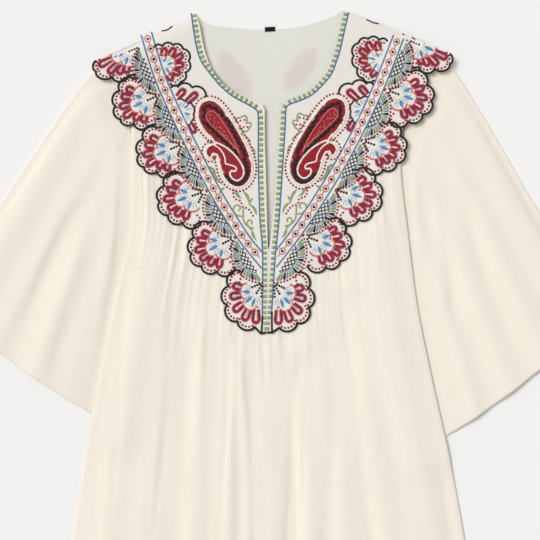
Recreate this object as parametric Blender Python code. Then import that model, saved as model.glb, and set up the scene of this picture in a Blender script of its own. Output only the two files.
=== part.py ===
"""Embroidered kaftan dress, laid flat on its back with its neck towards +Y.

Every piece is a wall of cloth. Places on the dress are given as (x, down): metres to the right of the
centre front, as it is looked at, and metres below the high point of the shoulder. Left and right are the
viewer's. From the floor up lie the back yoke, the sleeves, the back, the front and the two front yokes.
"""

import math
from collections import namedtuple

import bpy
from mathutils import Vector
from mathutils.geometry import delaunay_2d_cdt

# Whole garment
LENGTH = 1.320
HALF_SPAN = 0.500
TOP_Y = LENGTH / 2

# Walls, and the air between one layer and the next
WALL = 0.0010
FRONT_WALL = 0.0012
LAYER_GAP = 0.0008
HEM_EXTRA = 0.0005
HEM_DEPTH = 0.008
SEAM_GAP = 0.0003

# Heights at which a layer lies on what is under it
OVER_BACK_YOKE = 0.0016
OVER_SLEEVE = 0.0038
YOKE_HEIGHT = 0.0074
SHOULDER_HEIGHT = 0.0014
SHOULDER_ROLL = 0.018
SHOULDER_END = (0.205, 0.235)
RIM_EXTRA = 0.0006

# Reach of the flat part of a lift past the piece that it clears, and of the slope after it
LIFT_FLAT = 0.020
LIFT_SLOPE = 0.045

# Necklines. The slit runs on from the neck's corner down to the centre front.
NeckPoint = namedtuple("NeckPoint", "left_x left_down right_x right_down")
NECK = (
    NeckPoint(-0.1080, 0.0060, 0.1125, 0.0000),
    NeckPoint(-0.1020, 0.0250, 0.1105, 0.0230),
    NeckPoint(-0.0935, 0.0660, 0.1010, 0.0615),
    NeckPoint(-0.0750, 0.1040, 0.0790, 0.1040),
    NeckPoint(-0.0440, 0.1270, 0.0480, 0.1290),
    NeckPoint(-0.0090, 0.1415, 0.0245, 0.1420),
)
SLIT = (
    NeckPoint(-0.0050, 0.1500, 0.0225, 0.1520),
    NeckPoint(-0.0045, 0.2030, 0.0165, 0.1955),
    NeckPoint(-0.0025, 0.2700, 0.0115, 0.2700),
    NeckPoint(-0.0005, 0.3540, 0.0025, 0.3540),
)
BACK_NECK = ((-0.1080, 0.0060), (-0.0900, 0.0205), (-0.0450, 0.0275), (0.0030, 0.0295),
             (0.0500, 0.0245), (0.0920, 0.0115), (0.1125, 0.0000))
CENTRE_FOOT = (-0.0020, 0.4850)
YOKE_TIPS = (-0.0110, 0.4865, 0.0065, 0.4850)

# Shoulder fold from the neck to the last flower
SHOULDER = {
    -1: ((-0.1170, 0.0105), (-0.1440, 0.0225), (-0.1750, 0.0390), (-0.2580, 0.0780)),
    1: ((0.1200, 0.0030), (0.1665, 0.0180), (0.2175, 0.0420), (0.2535, 0.0600)),
}

# Flowers along the yoke's lower edge, from the shoulder to the centre. The root lies on the diamond band,
# the ring is the flower's eye, and the lobes are measured from the ring, turned from the flower's axis.
Flower = namedtuple("Flower", "left_root left_ring left_tip right_root right_ring right_tip notches")
FULL_FLOWER = (79.0, 37.0, 12.0, -12.0, -37.0, -79.0)
SHOULDER_FLOWER = (6.0, -12.0, -37.0, -79.0)
END_FLOWER = (98.0, 56.0, 24.0, -4.0, -30.0)
FLOWERS = (
    Flower((-0.1940, 0.0580), (-0.2060, 0.0630), 0.062, (0.2080, 0.0460), (0.2240, 0.0530), 0.058,
           SHOULDER_FLOWER),
    Flower((-0.1630, 0.1290), (-0.1780, 0.1360), 0.064, (0.1745, 0.1210), (0.1930, 0.1275), 0.063,
           FULL_FLOWER),
    Flower((-0.1270, 0.2010), (-0.1435, 0.2085), 0.059, (0.1400, 0.1965), (0.1570, 0.2025), 0.051,
           FULL_FLOWER),
    Flower((-0.0920, 0.2720), (-0.1115, 0.2785), 0.059, (0.1015, 0.2705), (0.1160, 0.2745), 0.060,
           FULL_FLOWER),
    Flower((-0.0495, 0.3415), (-0.0660, 0.3495), 0.060, (0.0525, 0.3380), (0.0720, 0.3455), 0.054,
           FULL_FLOWER),
    Flower((-0.0080, 0.4100), (-0.0165, 0.4230), 0.065, (0.0085, 0.4100), (0.0165, 0.4240), 0.062,
           END_FLOWER),
)
SIDE_RADIUS = 0.0395
END_SIDE_RADIUS = 0.0430
LOBE_NOTCH = 0.0090
LOBE_ROUND = 0.95
LOBE_STEPS = 4

# Side edges of the front and back, from the armhole to the hem
SideRow = namedtuple("SideRow", "down left right")
SIDES = (
    SideRow(0.120, -0.2055, 0.1955),
    SideRow(0.250, -0.2050, 0.1995),
    SideRow(0.330, -0.2070, 0.2090),
    SideRow(0.440, -0.2315, 0.2230),
    SideRow(0.545, -0.2525, 0.2440),
    SideRow(0.700, -0.2795, 0.2780),
    SideRow(0.900, -0.3060, 0.3120),
    SideRow(LENGTH, -0.3600, 0.3700),
)
HEM_RISE = 0.022

# Gathered seam of the front and back, hidden under the flowers: how far across, and how far down
SeamRow = namedtuple("SeamRow", "across down")
SEAM = (
    SeamRow(0.000, 0.1620), SeamRow(0.090, 0.1600), SeamRow(0.125, 0.1700), SeamRow(0.200, 0.2415),
    SeamRow(0.300, 0.3105), SeamRow(0.427, 0.3780), SeamRow(0.507, 0.4125), SeamRow(0.583, 0.3780),
    SeamRow(0.709, 0.3075), SeamRow(0.833, 0.2355), SeamRow(0.910, 0.1650), SeamRow(0.940, 0.1545),
    SeamRow(1.000, 0.1560),
)

# Soft folds of the front, as parts of its width, with the breadth of each flank at the hem
Fold = namedtuple("Fold", "seam hem height left_flank right_flank")
FRONT_FOLDS = (
    Fold(0.085, 0.090, 0.0060, 0.024, 0.030),
    Fold(0.190, 0.195, 0.0070, 0.034, 0.022),
    Fold(0.305, 0.300, 0.0085, 0.030, 0.030),
    Fold(0.395, 0.402, 0.0110, 0.030, 0.015),
    Fold(0.500, 0.490, 0.0060, 0.026, 0.026),
    Fold(0.600, 0.585, 0.0115, 0.014, 0.032),
    Fold(0.690, 0.695, 0.0080, 0.028, 0.026),
    Fold(0.790, 0.800, 0.0080, 0.026, 0.034),
    Fold(0.905, 0.905, 0.0060, 0.030, 0.026),
)
FOLD_NARROWING = 0.55
FOLD_START = 0.035
FOLD_ONSET = 0.300
EDGE_SOFTENING = 0.075

# The mesh of the front and back: how many columns and rows
BODY_COLUMNS = 36
BODY_ROWS = 17
BACK_MIDDLE = (0.16, 0.84)
CREASE_LINES = (0.388, 0.411, 0.578, 0.597)

# Sleeves: fold edge along the top, hidden edge along the underarm, both from the armhole to the hem
SleeveRow = namedtuple("SleeveRow", "along top_x top_down under_x under_down")
SLEEVES = {
    -1: (
        SleeveRow(0.00, -0.2170, 0.0760, -0.1890, 0.3330),
        SleeveRow(0.18, -0.2670, 0.0990, -0.1920, 0.3900),
        SleeveRow(0.60, -0.3960, 0.2840, -0.2130, 0.5000),
        SleeveRow(1.00, -HALF_SPAN, 0.4320, -0.2330, 0.6230),
    ),
    1: (
        SleeveRow(0.00, 0.2230, 0.0640, 0.1810, 0.3330),
        SleeveRow(0.18, 0.2735, 0.0850, 0.1840, 0.3900),
        SleeveRow(0.60, 0.4030, 0.2970, 0.2060, 0.5100),
        SleeveRow(1.00, HALF_SPAN, 0.4540, 0.2420, 0.6540),
    ),
}
SLEEVE_HEM_BOW = {-1: 0.010, 1: 0.011}
SLEEVE_ROWS = 11
SLEEVE_COLUMNS = 18
SleeveFold = namedtuple("SleeveFold", "armhole hem height top_flank under_flank")
SLEEVE_FOLDS = {
    -1: (SleeveFold(0.10, 0.16, 0.0060, 0.10, 0.09), SleeveFold(0.34, 0.36, 0.0050, 0.09, 0.05),
         SleeveFold(0.52, 0.58, 0.0075, 0.07, 0.09), SleeveFold(0.72, 0.80, 0.0060, 0.07, 0.06)),
    1: (SleeveFold(0.10, 0.14, 0.0055, 0.09, 0.08), SleeveFold(0.30, 0.33, 0.0075, 0.08, 0.07),
        SleeveFold(0.50, 0.55, 0.0055, 0.09, 0.06), SleeveFold(0.70, 0.76, 0.0070, 0.06, 0.08)),
}
SLEEVE_AIR = 0.0006
SLEEVE_INNER_SET = 0.006
SLEEVE_LENGTH = 0.400
COVER_FLAT = 0.016
COVER_SOFTENING = 0.050

# Neck label
LABEL_CENTRE = (0.0030, 0.0292)
LABEL_SIZE = (0.0154, 0.0068)
LABEL_TILT = math.radians(-3.0)

# Inner points of the yokes
YOKE_CELL = {"front": 0.018, "back": 0.030}
YOKE_CLEAR = 0.006

# Colours, linear
CLOTH_COLOUR = (0.86, 0.80, 0.71, 1.0)
YOKE_COLOUR = (0.82, 0.79, 0.74, 1.0)
LABEL_COLOUR = (0.010, 0.010, 0.010, 1.0)
CLOTH_ROUGHNESS = 0.85
LABEL_ROUGHNESS = 0.55


def clear_scene():
    """Removes whatever the scene holds."""
    for item in list(bpy.data.objects):
        bpy.data.objects.remove(item, do_unlink=True)


def cloth_material(name, colour, roughness):
    """A matt woven finish."""
    material = bpy.data.materials.new(name)
    material.use_nodes = True
    shader = material.node_tree.nodes["Principled BSDF"]
    shader.inputs["Base Color"].default_value = colour
    shader.inputs["Roughness"].default_value = roughness
    shader.inputs["Metallic"].default_value = 0.0
    return material


def smooth(value):
    """Zero below 0, one above 1, and an S-shaped rise between."""
    held = min(max(value, 0.0), 1.0)
    return held * held * (3.0 - 2.0 * held)


def mix(low, high, part):
    """The value a part of the way from low to high."""
    return low + (high - low) * part


def read_table(rows, key, column):
    """A column's value at a key in a table's first column, on a smooth line through its rows."""
    last = len(rows) - 2
    index = 0
    while index < last and key > rows[index + 1][0]:
        index += 1
    before, after = rows[index], rows[index + 1]
    span = after[0] - before[0]
    part = min(max((key - before[0]) / span, 0.0), 1.0)
    slopes = []
    for row in (index, index + 1):
        low, high = rows[max(row - 1, 0)], rows[min(row + 1, len(rows) - 1)]
        slopes.append((getattr(high, column) - getattr(low, column)) / (high[0] - low[0]) * span)
    start, end = getattr(before, column), getattr(after, column)
    square, cube = part * part, part * part * part
    return (start * (2 * cube - 3 * square + 1) + slopes[0] * (cube - 2 * square + part)
            + end * (3 * square - 2 * cube) + slopes[1] * (cube - square))


def curve_through(points, steps):
    """Points on a smooth curve through the given ones, with both ends kept."""
    path = []
    for index in range(len(points) - 1):
        before = points[max(index - 1, 0)]
        start, end = points[index], points[index + 1]
        after = points[min(index + 2, len(points) - 1)]
        for step in range(steps):
            part = step / steps
            square, cube = part * part, part * part * part
            path.append(tuple(
                0.5 * (2 * start[axis] + (end[axis] - before[axis]) * part
                       + (2 * before[axis] - 5 * start[axis] + 4 * end[axis] - after[axis]) * square
                       + (3 * start[axis] - before[axis] - 3 * end[axis] + after[axis]) * cube)
                for axis in (0, 1)))
    path.append(tuple(points[-1]))
    return path


def gap_to_segment(x, down, start, end):
    """How far a place lies from a straight edge."""
    run_x, run_down = end[0] - start[0], end[1] - start[1]
    length = run_x * run_x + run_down * run_down
    part = ((x - start[0]) * run_x + (down - start[1]) * run_down) / length if length else 0.0
    held = min(max(part, 0.0), 1.0)
    return math.hypot(x - start[0] - run_x * held, down - start[1] - run_down * held)


def is_inside(x, down, outline):
    """Whether a place lies within a closed outline."""
    inside = False
    for index, (end_x, end_down) in enumerate(outline):
        start_x, start_down = outline[index - 1]
        if (start_down > down) != (end_down > down):
            crossing = start_x + (down - start_down) / (end_down - start_down) * (end_x - start_x)
            inside = inside != (x < crossing)
    return inside


def gap_to_outline(x, down, outline):
    """How far a place lies outside a closed outline, and zero within it."""
    if is_inside(x, down, outline):
        return 0.0
    return min(gap_to_segment(x, down, outline[index - 1], end) for index, end in enumerate(outline))


def lift(gap):
    """How much of a lift is left at a distance from the piece that it clears."""
    return 1.0 - smooth((gap - LIFT_FLAT) / LIFT_SLOPE)


def flower_lobes(flower, side):
    """The scalloped edge of one flower, from its upper notch to its lower one."""
    root, ring, tip = flower[:3] if side < 0 else flower[3:6]
    narrow = END_SIDE_RADIUS if flower.notches == END_FLOWER else SIDE_RADIUS
    axis = Vector((ring[0] - root[0], ring[1] - root[1])).normalized()
    across = Vector((-axis.y, axis.x)) * side
    edge = []
    for first, last in zip(flower.notches, flower.notches[1:]):
        for step in range(LOBE_STEPS):
            part = step / LOBE_STEPS
            turn = math.radians(mix(first, last, part))
            spread = (2 * part - 1) * LOBE_ROUND
            dip = LOBE_NOTCH * (1 - math.sqrt(1 - spread * spread))
            reach = mix(narrow, tip, math.cos(turn) ** 2) - dip
            spot = Vector(ring) + (axis * math.cos(turn) - across * math.sin(turn)) * reach
            edge.append((spot.x, spot.y))
    return edge


def scallops(side):
    """The yoke's lower edge on one side, from the shoulder flower to the centre front."""
    edge = []
    for flower in FLOWERS:
        edge += flower_lobes(flower, side)
    tip = YOKE_TIPS[:2] if side < 0 else YOKE_TIPS[2:]
    kept = [spot for spot in edge if spot[0] * side > tip[0] * side + 0.004]
    return kept + [tip]


def front_yoke_outline(side):
    """One front yoke: shoulder, flowers, centre seam, slit and neck."""
    columns = (0, 1) if side < 0 else (2, 3)
    neck = curve_through([(row[columns[0]], row[columns[1]]) for row in NECK], 4)
    slit = curve_through([(row[columns[0]], row[columns[1]]) for row in SLIT], 3)
    half_gap = SEAM_GAP / 2 * side
    foot = (CENTRE_FOOT[0] + half_gap, CENTRE_FOOT[1])
    fork = (SLIT[-1].left_x + SEAM_GAP * 3 + half_gap, SLIT[-1].left_down + YOKE_CLEAR)
    return neck[:1] + list(SHOULDER[side]) + scallops(side) + [foot, fork] + slit[::-1] + neck[:0:-1]


def back_yoke_outline():
    """The back yoke: the flowers of both sides below, and the back neck above."""
    left = list(SHOULDER[-1]) + scallops(-1)
    right = list(SHOULDER[1]) + scallops(1)
    neck = curve_through(BACK_NECK, 4)
    return left + right[::-1] + neck[::-1]


def sleeve_place(side, along, across):
    """The place on a sleeve between its fold edge and its underarm edge."""
    rows = SLEEVES[side]
    top = (read_table(rows, along, "top_x"), read_table(rows, along, "top_down"))
    under = (read_table(rows, along, "under_x"), read_table(rows, along, "under_down"))
    bow = SLEEVE_HEM_BOW[side] * along * along * 4 * across * (1 - across)
    run = Vector((under[0] - top[0], under[1] - top[1])).normalized()
    return (mix(top[0], under[0], across) + run.y * side * bow,
            mix(top[1], under[1], across) - run.x * side * bow)


def sleeve_outline(side):
    """The sleeve as it lies, seen from above."""
    steps = [step / 12 for step in range(13)]
    top = [sleeve_place(side, step, 0.0) for step in steps]
    hem = [sleeve_place(side, 1.0, step) for step in steps[1:]]
    under = [sleeve_place(side, step, 1.0) for step in steps[::-1][1:]]
    return top + hem + under


def body_place(across, fall):
    """The place on the front or back: across its width, and from its seam to its hem."""
    seam_down = read_table(SEAM, across, "down")
    hem_down = LENGTH - HEM_RISE * (2 * across - 1) ** 2
    down = mix(seam_down, hem_down, fall)
    return mix(read_table(SIDES, down, "left"), read_table(SIDES, down, "right"), across), down


class Lie:
    """How high each layer lies at a place, on what is under it."""

    def __init__(self):
        self.back_yoke = back_yoke_outline()
        self.sleeves = [sleeve_outline(side) for side in (-1, 1)]

    def over_back_yoke(self, x, down):
        """The lift that clears the back yoke."""
        return OVER_BACK_YOKE * lift(gap_to_outline(x, down, self.back_yoke))

    def over_sleeves(self, x, down):
        """The lift that clears the sleeve on this side."""
        outline = self.sleeves[0] if x < 0 else self.sleeves[1]
        return OVER_SLEEVE * lift(gap_to_outline(x, down, outline))

    def back(self, x, down):
        """Underside of the back."""
        return self.over_back_yoke(x, down) + self.over_sleeves(x, down)

    def front_yoke(self, x, down):
        """Underside of a front yoke, rolled down to the back yoke along the shoulder fold."""
        side = -1 if x < 0 else 1
        columns = (0, 1) if side < 0 else (2, 3)
        fold = [(NECK[0][columns[0]], NECK[0][columns[1]])] + list(SHOULDER[side])
        gap = min(gap_to_segment(x, down, start, end) for start, end in zip(fold, fold[1:]))
        held = smooth((abs(x) - SHOULDER_END[0]) / (SHOULDER_END[1] - SHOULDER_END[0]))
        rise = max(math.sin(min(gap / SHOULDER_ROLL, 1.0) * math.pi / 2), held)
        return mix(SHOULDER_HEIGHT, YOKE_HEIGHT, rise) + self.over_sleeves(x, down) * rise


def fold_height(across, fall, width):
    """How far the front's folds stand up at a place, soft at the seam and at the side edges."""
    height = 0.0
    for fold in FRONT_FOLDS:
        run = (across - mix(fold.seam, fold.hem, fall)) * width
        flank = (fold.left_flank if run < 0 else fold.right_flank) * mix(FOLD_NARROWING, 1.0, fall)
        height += fold.height * math.exp(-(run / flank) ** 2)
    edge = smooth(min(across, 1 - across) / EDGE_SOFTENING)
    return height * edge


def sleeve_fold_height(side, along, across):
    """How far a sleeve's folds stand up at a place."""
    height = 0.0
    for fold in SLEEVE_FOLDS[side]:
        run = across - mix(fold.armhole, fold.hem, along)
        flank = fold.top_flank if run < 0 else fold.under_flank
        height += fold.height * math.exp(-(run / flank) ** 2)
    edge = smooth(min(across, 1 - across) / EDGE_SOFTENING)
    return height * edge * smooth(along / 0.6)


def to_world(x, down, height):
    """A point of the dress in the row's frame."""
    return Vector((x, TOP_Y - down, height))


def add_object(name, points, faces, material):
    """Makes one named object of a mesh, in the scene's own collection."""
    mesh = bpy.data.meshes.new(name)
    mesh.from_pydata([tuple(point) for point in points], [], faces)
    mesh.materials.append(material)
    mesh.update()
    piece = bpy.data.objects.new(name, mesh)
    bpy.context.scene.collection.objects.link(piece)
    mesh.shade_smooth()
    mesh.set_sharp_from_angle(angle=math.radians(40))
    return piece


def grid_wall(name, tops, bottoms, material):
    """A wall of cloth between two grids of points, closed along its four edges."""
    rows, columns = len(tops), len(tops[0])
    points = [spot for row in tops for spot in row] + [spot for row in bottoms for spot in row]
    under = rows * columns
    faces = []
    for row in range(rows - 1):
        for column in range(columns - 1):
            here = row * columns + column
            below = here + columns
            faces.append((here, below, below + 1, here + 1))
            faces.append((under + here, under + here + 1, under + below + 1, under + below))
    last = (rows - 1) * columns
    for column in range(columns - 1):
        faces.append((column, column + 1, under + column + 1, under + column))
        faces.append((last + column + 1, last + column, under + last + column, under + last + column + 1))
    for row in range(rows - 1):
        here, below = row * columns, (row + 1) * columns
        faces.append((below, here, under + here, under + below))
        right, lower = here + columns - 1, below + columns - 1
        faces.append((right, lower, under + lower, under + right))
    return add_object(name, points, faces, material)


def outline_wall(name, outline, cell, bottom, thickness, rim, material):
    """A wall of cloth within a closed outline, lying on a height, with a raised rim along its edge."""
    xs = [spot[0] for spot in outline]
    downs = [spot[1] for spot in outline]
    spots = [Vector(spot) for spot in outline]
    row_step = cell * math.sqrt(3) / 2
    for row in range(int((max(downs) - min(downs)) / row_step) + 1):
        down = min(downs) + row * row_step
        shift = cell / 2 * (row % 2)
        for column in range(int((max(xs) - min(xs)) / cell) + 1):
            x = min(xs) + shift + column * cell
            clear = min(gap_to_segment(x, down, outline[index - 1], end) for index, end in enumerate(outline))
            if clear > YOKE_CLEAR and is_inside(x, down, outline):
                spots.append(Vector((x, down)))
    count = len(outline)
    edges = [(index, (index + 1) % count) for index in range(count)]
    places, _, triangles, *_ = delaunay_2d_cdt(spots, edges, [], 1, 1e-6)
    under = len(places)
    heights = [bottom(spot.x, spot.y) for spot in places]
    border = {}
    faces = []
    for triangle in triangles:
        one, two, three = (places[index] for index in triangle)
        turned = (two - one).cross(three - one) < 0
        upper = list(triangle) if turned else list(reversed(triangle))
        faces.append(tuple(upper))
        faces.append(tuple(under + index for index in reversed(upper)))
        for start, end in zip(upper, upper[1:] + upper[:1]):
            if border.pop((end, start), None) is None:
                border[(start, end)] = True
    on_rim = {index for edge in border for index in edge}
    faces += [(start, under + start, under + end, end) for start, end in border]
    points = [to_world(spot.x, spot.y, height + thickness + (rim if index in on_rim else 0.0))
              for index, (spot, height) in enumerate(zip(places, heights))]
    points += [to_world(spot.x, spot.y, height) for spot, height in zip(places, heights)]
    return add_object(name, points, faces, material)


def body_columns():
    """Where the front's and back's columns stand across their width."""
    even = [step / BODY_COLUMNS for step in range(BODY_COLUMNS + 1)]
    kept = [place for place in even if all(abs(place - line) > 0.006 for line in CREASE_LINES)]
    return sorted(kept + list(CREASE_LINES))


def body_rows():
    """Where the rows lie from seam to hem, closer near the seam, with one at the hem's turning."""
    rows = [(step / BODY_ROWS) ** 1.25 for step in range(BODY_ROWS)]
    return rows + [1 - HEM_DEPTH / LENGTH, 1.0]


def make_back(lie, material):
    """The back, flat on the floor but where it crosses the back yoke and the sleeves."""
    columns = [across for index, across in enumerate(body_columns())
               if index % 2 == 0 or not BACK_MIDDLE[0] < across < BACK_MIDDLE[1]]
    tops, bottoms = [], []
    for fall in body_rows():
        hem = HEM_EXTRA if fall > 1 - HEM_DEPTH / LENGTH * 1.5 else 0.0
        places = [body_place(across, fall) for across in columns]
        bottoms.append([to_world(x, down, lie.back(x, down)) for x, down in places])
        tops.append([to_world(x, down, lie.back(x, down) + WALL + hem) for x, down in places])
    return grid_wall("back_body", tops, bottoms, material)


def make_front(lie, material):
    """The front, gathered under the flowers and folded down to its hem."""
    tops, bottoms = [], []
    for fall in body_rows():
        hem = HEM_EXTRA if fall > 1 - HEM_DEPTH / LENGTH * 1.5 else 0.0
        upper, lower = [], []
        for across in body_columns():
            x, down = body_place(across, fall)
            width = read_table(SIDES, down, "right") - read_table(SIDES, down, "left")
            onset = smooth((down - read_table(SEAM, across, "down") - FOLD_START) / FOLD_ONSET)
            bottom = lie.back(x, down) + WALL + HEM_EXTRA + LAYER_GAP
            bottom += fold_height(across, fall, width) * onset
            lower.append(to_world(x, down, bottom))
            upper.append(to_world(x, down, bottom + FRONT_WALL + hem))
        tops.append(upper)
        bottoms.append(lower)
    return grid_wall("front_body", tops, bottoms, material)


def cover_gap(lie, side, x, down):
    """How far a place on a sleeve lies outside the yoke and the body that cover it."""
    edge = read_table(SIDES, down, "left" if side < 0 else "right")
    past_body = (x - edge) * side if down > SEAM[0].down else 1.0
    return max(min(past_body, gap_to_outline(x, down, lie.back_yoke)), 0.0)


def make_sleeve(lie, side, name, material):
    """A flattened tube, open at the armhole and the hem, with soft folds in its upper layer."""
    rows = [step / SLEEVE_ROWS for step in range(SLEEVE_ROWS)] + [1 - HEM_DEPTH / SLEEVE_LENGTH, 1.0]
    outer, inner = [], []
    for along in rows:
        hem = HEM_EXTRA if along > 1 - HEM_DEPTH / SLEEVE_LENGTH * 1.5 else 0.0
        upper_out, upper_in, lower_out, lower_in = [], [], [], []
        for column in range(SLEEVE_COLUMNS + 1):
            across = column / SLEEVE_COLUMNS
            x, down = sleeve_place(side, along, across)
            floor = lie.over_back_yoke(x, down)
            open_up = smooth((cover_gap(lie, side, x, down) - COVER_FLAT) / COVER_SOFTENING)
            rise = sleeve_fold_height(side, along, across) * open_up
            ceiling = floor + WALL + SLEEVE_AIR + rise
            upper_out.append(to_world(x, down, ceiling + WALL))
            lower_out.append(to_world(x, down, floor))
            inner_across = mix(SLEEVE_INNER_SET, 1 - SLEEVE_INNER_SET, across)
            inner_x, inner_down = sleeve_place(side, along, inner_across)
            upper_in.append(to_world(inner_x, inner_down, ceiling - hem))
            lower_in.append(to_world(inner_x, inner_down, floor + WALL))
        outer.append(upper_out + lower_out[::-1])
        inner.append(upper_in + lower_in[::-1])
    return tube_wall(name, outer, inner, side, material)


def tube_wall(name, outer, inner, side, material):
    """A tube's wall between its outer and inner rings, closed at both open ends."""
    rows, around = len(outer), len(outer[0])
    points = [spot for ring in outer for spot in ring] + [spot for ring in inner for spot in ring]
    under = rows * around
    faces = []
    for row in range(rows - 1):
        for step in range(around):
            here, beside = row * around + step, row * around + (step + 1) % around
            faces.append((here, beside, beside + around, here + around))
            faces.append((under + here, under + here + around, under + beside + around, under + beside))
    last = (rows - 1) * around
    for step in range(around):
        beside = (step + 1) % around
        faces.append((beside, step, under + step, under + beside))
        faces.append((last + step, last + beside, under + last + beside, under + last + step))
    if side < 0:
        faces = [tuple(reversed(face)) for face in faces]
    return add_object(name, points, faces, material)


def make_label(material):
    """The plain black tab at the middle of the back neck."""
    half_x, half_down = LABEL_SIZE[0] / 2, LABEL_SIZE[1] / 2
    bottom = WALL + SEAM_GAP
    tops, bottoms = [], []
    for down in (-half_down, half_down):
        row = []
        for x in (-half_x, half_x):
            row.append((LABEL_CENTRE[0] + x * math.cos(LABEL_TILT) - down * math.sin(LABEL_TILT),
                        LABEL_CENTRE[1] + x * math.sin(LABEL_TILT) + down * math.cos(LABEL_TILT)))
        bottoms.append([to_world(x, place, bottom) for x, place in row])
        tops.append([to_world(x, place, bottom + WALL) for x, place in row])
    return grid_wall("neck_label", tops, bottoms, material)



def main():
    """Builds the dress, from the floor up."""
    clear_scene()
    lie = Lie()
    cloth = cloth_material("cream_cotton", CLOTH_COLOUR, CLOTH_ROUGHNESS)
    yoke = cloth_material("embroidered_cotton", YOKE_COLOUR, CLOTH_ROUGHNESS)
    tab = cloth_material("black_tape", LABEL_COLOUR, LABEL_ROUGHNESS)
    outline_wall("back_yoke", lie.back_yoke, YOKE_CELL["back"], lambda x, down: 0.0, WALL, 0.0, yoke)
    make_sleeve(lie, -1, "sleeve_left", cloth)
    make_sleeve(lie, 1, "sleeve_right", cloth)
    make_back(lie, cloth)
    make_front(lie, cloth)
    for side, name in ((-1, "front_yoke_left"), (1, "front_yoke_right")):
        outline_wall(name, front_yoke_outline(side), YOKE_CELL["front"], lie.front_yoke, FRONT_WALL,
                     RIM_EXTRA, yoke)
    make_label(tab)


main()
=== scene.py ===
"""Looks of the embroidered kaftan dress, laid flat on its back on a pale floor.

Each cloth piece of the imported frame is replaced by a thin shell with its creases, and the yoke's
needlework is laid stitch by stitch with Geometry Nodes along paths drawn here. Places on the dress are
(x, down): metres to the right of the centre front, as it is looked at, and metres below the high point of
the shoulder.
"""

import logging
import math
from collections.abc import Callable
from dataclasses import dataclass, field
from enum import Enum

import bpy
import numpy as np
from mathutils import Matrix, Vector
from mathutils.geometry import delaunay_2d_cdt


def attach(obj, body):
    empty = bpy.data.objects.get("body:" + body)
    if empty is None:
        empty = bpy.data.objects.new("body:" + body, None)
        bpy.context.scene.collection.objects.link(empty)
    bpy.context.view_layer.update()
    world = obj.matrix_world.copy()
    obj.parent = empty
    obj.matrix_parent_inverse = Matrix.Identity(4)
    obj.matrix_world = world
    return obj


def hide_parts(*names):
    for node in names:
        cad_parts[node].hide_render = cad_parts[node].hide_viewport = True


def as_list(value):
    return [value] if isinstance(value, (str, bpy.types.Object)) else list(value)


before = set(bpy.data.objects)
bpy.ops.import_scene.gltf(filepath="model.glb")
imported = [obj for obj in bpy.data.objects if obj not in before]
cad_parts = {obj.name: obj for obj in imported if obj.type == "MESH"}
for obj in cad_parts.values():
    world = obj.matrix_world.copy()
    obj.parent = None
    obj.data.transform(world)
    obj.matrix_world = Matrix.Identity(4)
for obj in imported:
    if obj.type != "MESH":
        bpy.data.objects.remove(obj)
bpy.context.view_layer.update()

log = logging.getLogger("kaftan")

Place = tuple[float, float]
Path = list[Place]


def mm(*numbers: float) -> Path:
    """Places in metres, out of the x and the down of each in millimetres."""
    return [(x / 1000, down / 1000) for x, down in zip(numbers[::2], numbers[1::2])]


# Whole garment, as in the CAD source
LENGTH = 1.320
HALF_SPAN = 0.500
TOP_Y = LENGTH / 2
WALL = 0.0010
FRONT_WALL = 0.0012
LAYER_GAP = 0.0008
HEM_EXTRA = 0.0005
HEM_DEPTH = 0.008
SEAM_GAP = 0.0003
OVER_BACK_YOKE = 0.0016
OVER_SLEEVE = 0.0038
YOKE_HEIGHT = 0.0074
SHOULDER_HEIGHT = 0.0014
SHOULDER_ROLL = 0.018
SHOULDER_END = (0.205, 0.235)
LIFT_FLAT = 0.020
LIFT_SLOPE = 0.045

# Necklines as rows of left x, left down, right x, right down
NECK = (
    (-0.1080, 0.0060, 0.1125, 0.0000),
    (-0.1020, 0.0250, 0.1105, 0.0230),
    (-0.0935, 0.0660, 0.1010, 0.0615),
    (-0.0750, 0.1040, 0.0790, 0.1040),
    (-0.0440, 0.1270, 0.0480, 0.1290),
    (-0.0090, 0.1415, 0.0245, 0.1420),
)
SLIT = (
    (-0.0050, 0.1500, 0.0225, 0.1520),
    (-0.0045, 0.2030, 0.0165, 0.1955),
    (-0.0025, 0.2700, 0.0115, 0.2700),
    (-0.0005, 0.3540, 0.0025, 0.3540),
)
BACK_NECK = ((-0.1080, 0.0060), (-0.0900, 0.0205), (-0.0450, 0.0275), (0.0030, 0.0295),
             (0.0500, 0.0245), (0.0920, 0.0115), (0.1125, 0.0000))
CENTRE_FOOT = (-0.0020, 0.4850)
YOKE_TIPS = {-1: (-0.0110, 0.4865), 1: (0.0065, 0.4850)}
SHOULDER = {
    -1: ((-0.1170, 0.0105), (-0.1440, 0.0225), (-0.1750, 0.0390), (-0.2580, 0.0780)),
    1: ((0.1200, 0.0030), (0.1665, 0.0180), (0.2175, 0.0420), (0.2535, 0.0600)),
}
# Side edges as rows of down, left, right; the gathered seam as rows of across, down
SIDES = np.array((
    (0.120, -0.2055, 0.1955), (0.250, -0.2050, 0.1995), (0.330, -0.2070, 0.2090),
    (0.440, -0.2315, 0.2230), (0.545, -0.2525, 0.2440), (0.700, -0.2795, 0.2780),
    (0.900, -0.3060, 0.3120), (LENGTH, -0.3600, 0.3700),
))
SEAM = np.array((
    (0.000, 0.1620), (0.090, 0.1600), (0.125, 0.1700), (0.200, 0.2415), (0.300, 0.3105),
    (0.427, 0.3780), (0.507, 0.4125), (0.583, 0.3780), (0.709, 0.3075), (0.833, 0.2355),
    (0.910, 0.1650), (0.940, 0.1545), (1.000, 0.1560),
))
HEM_RISE = 0.022

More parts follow.
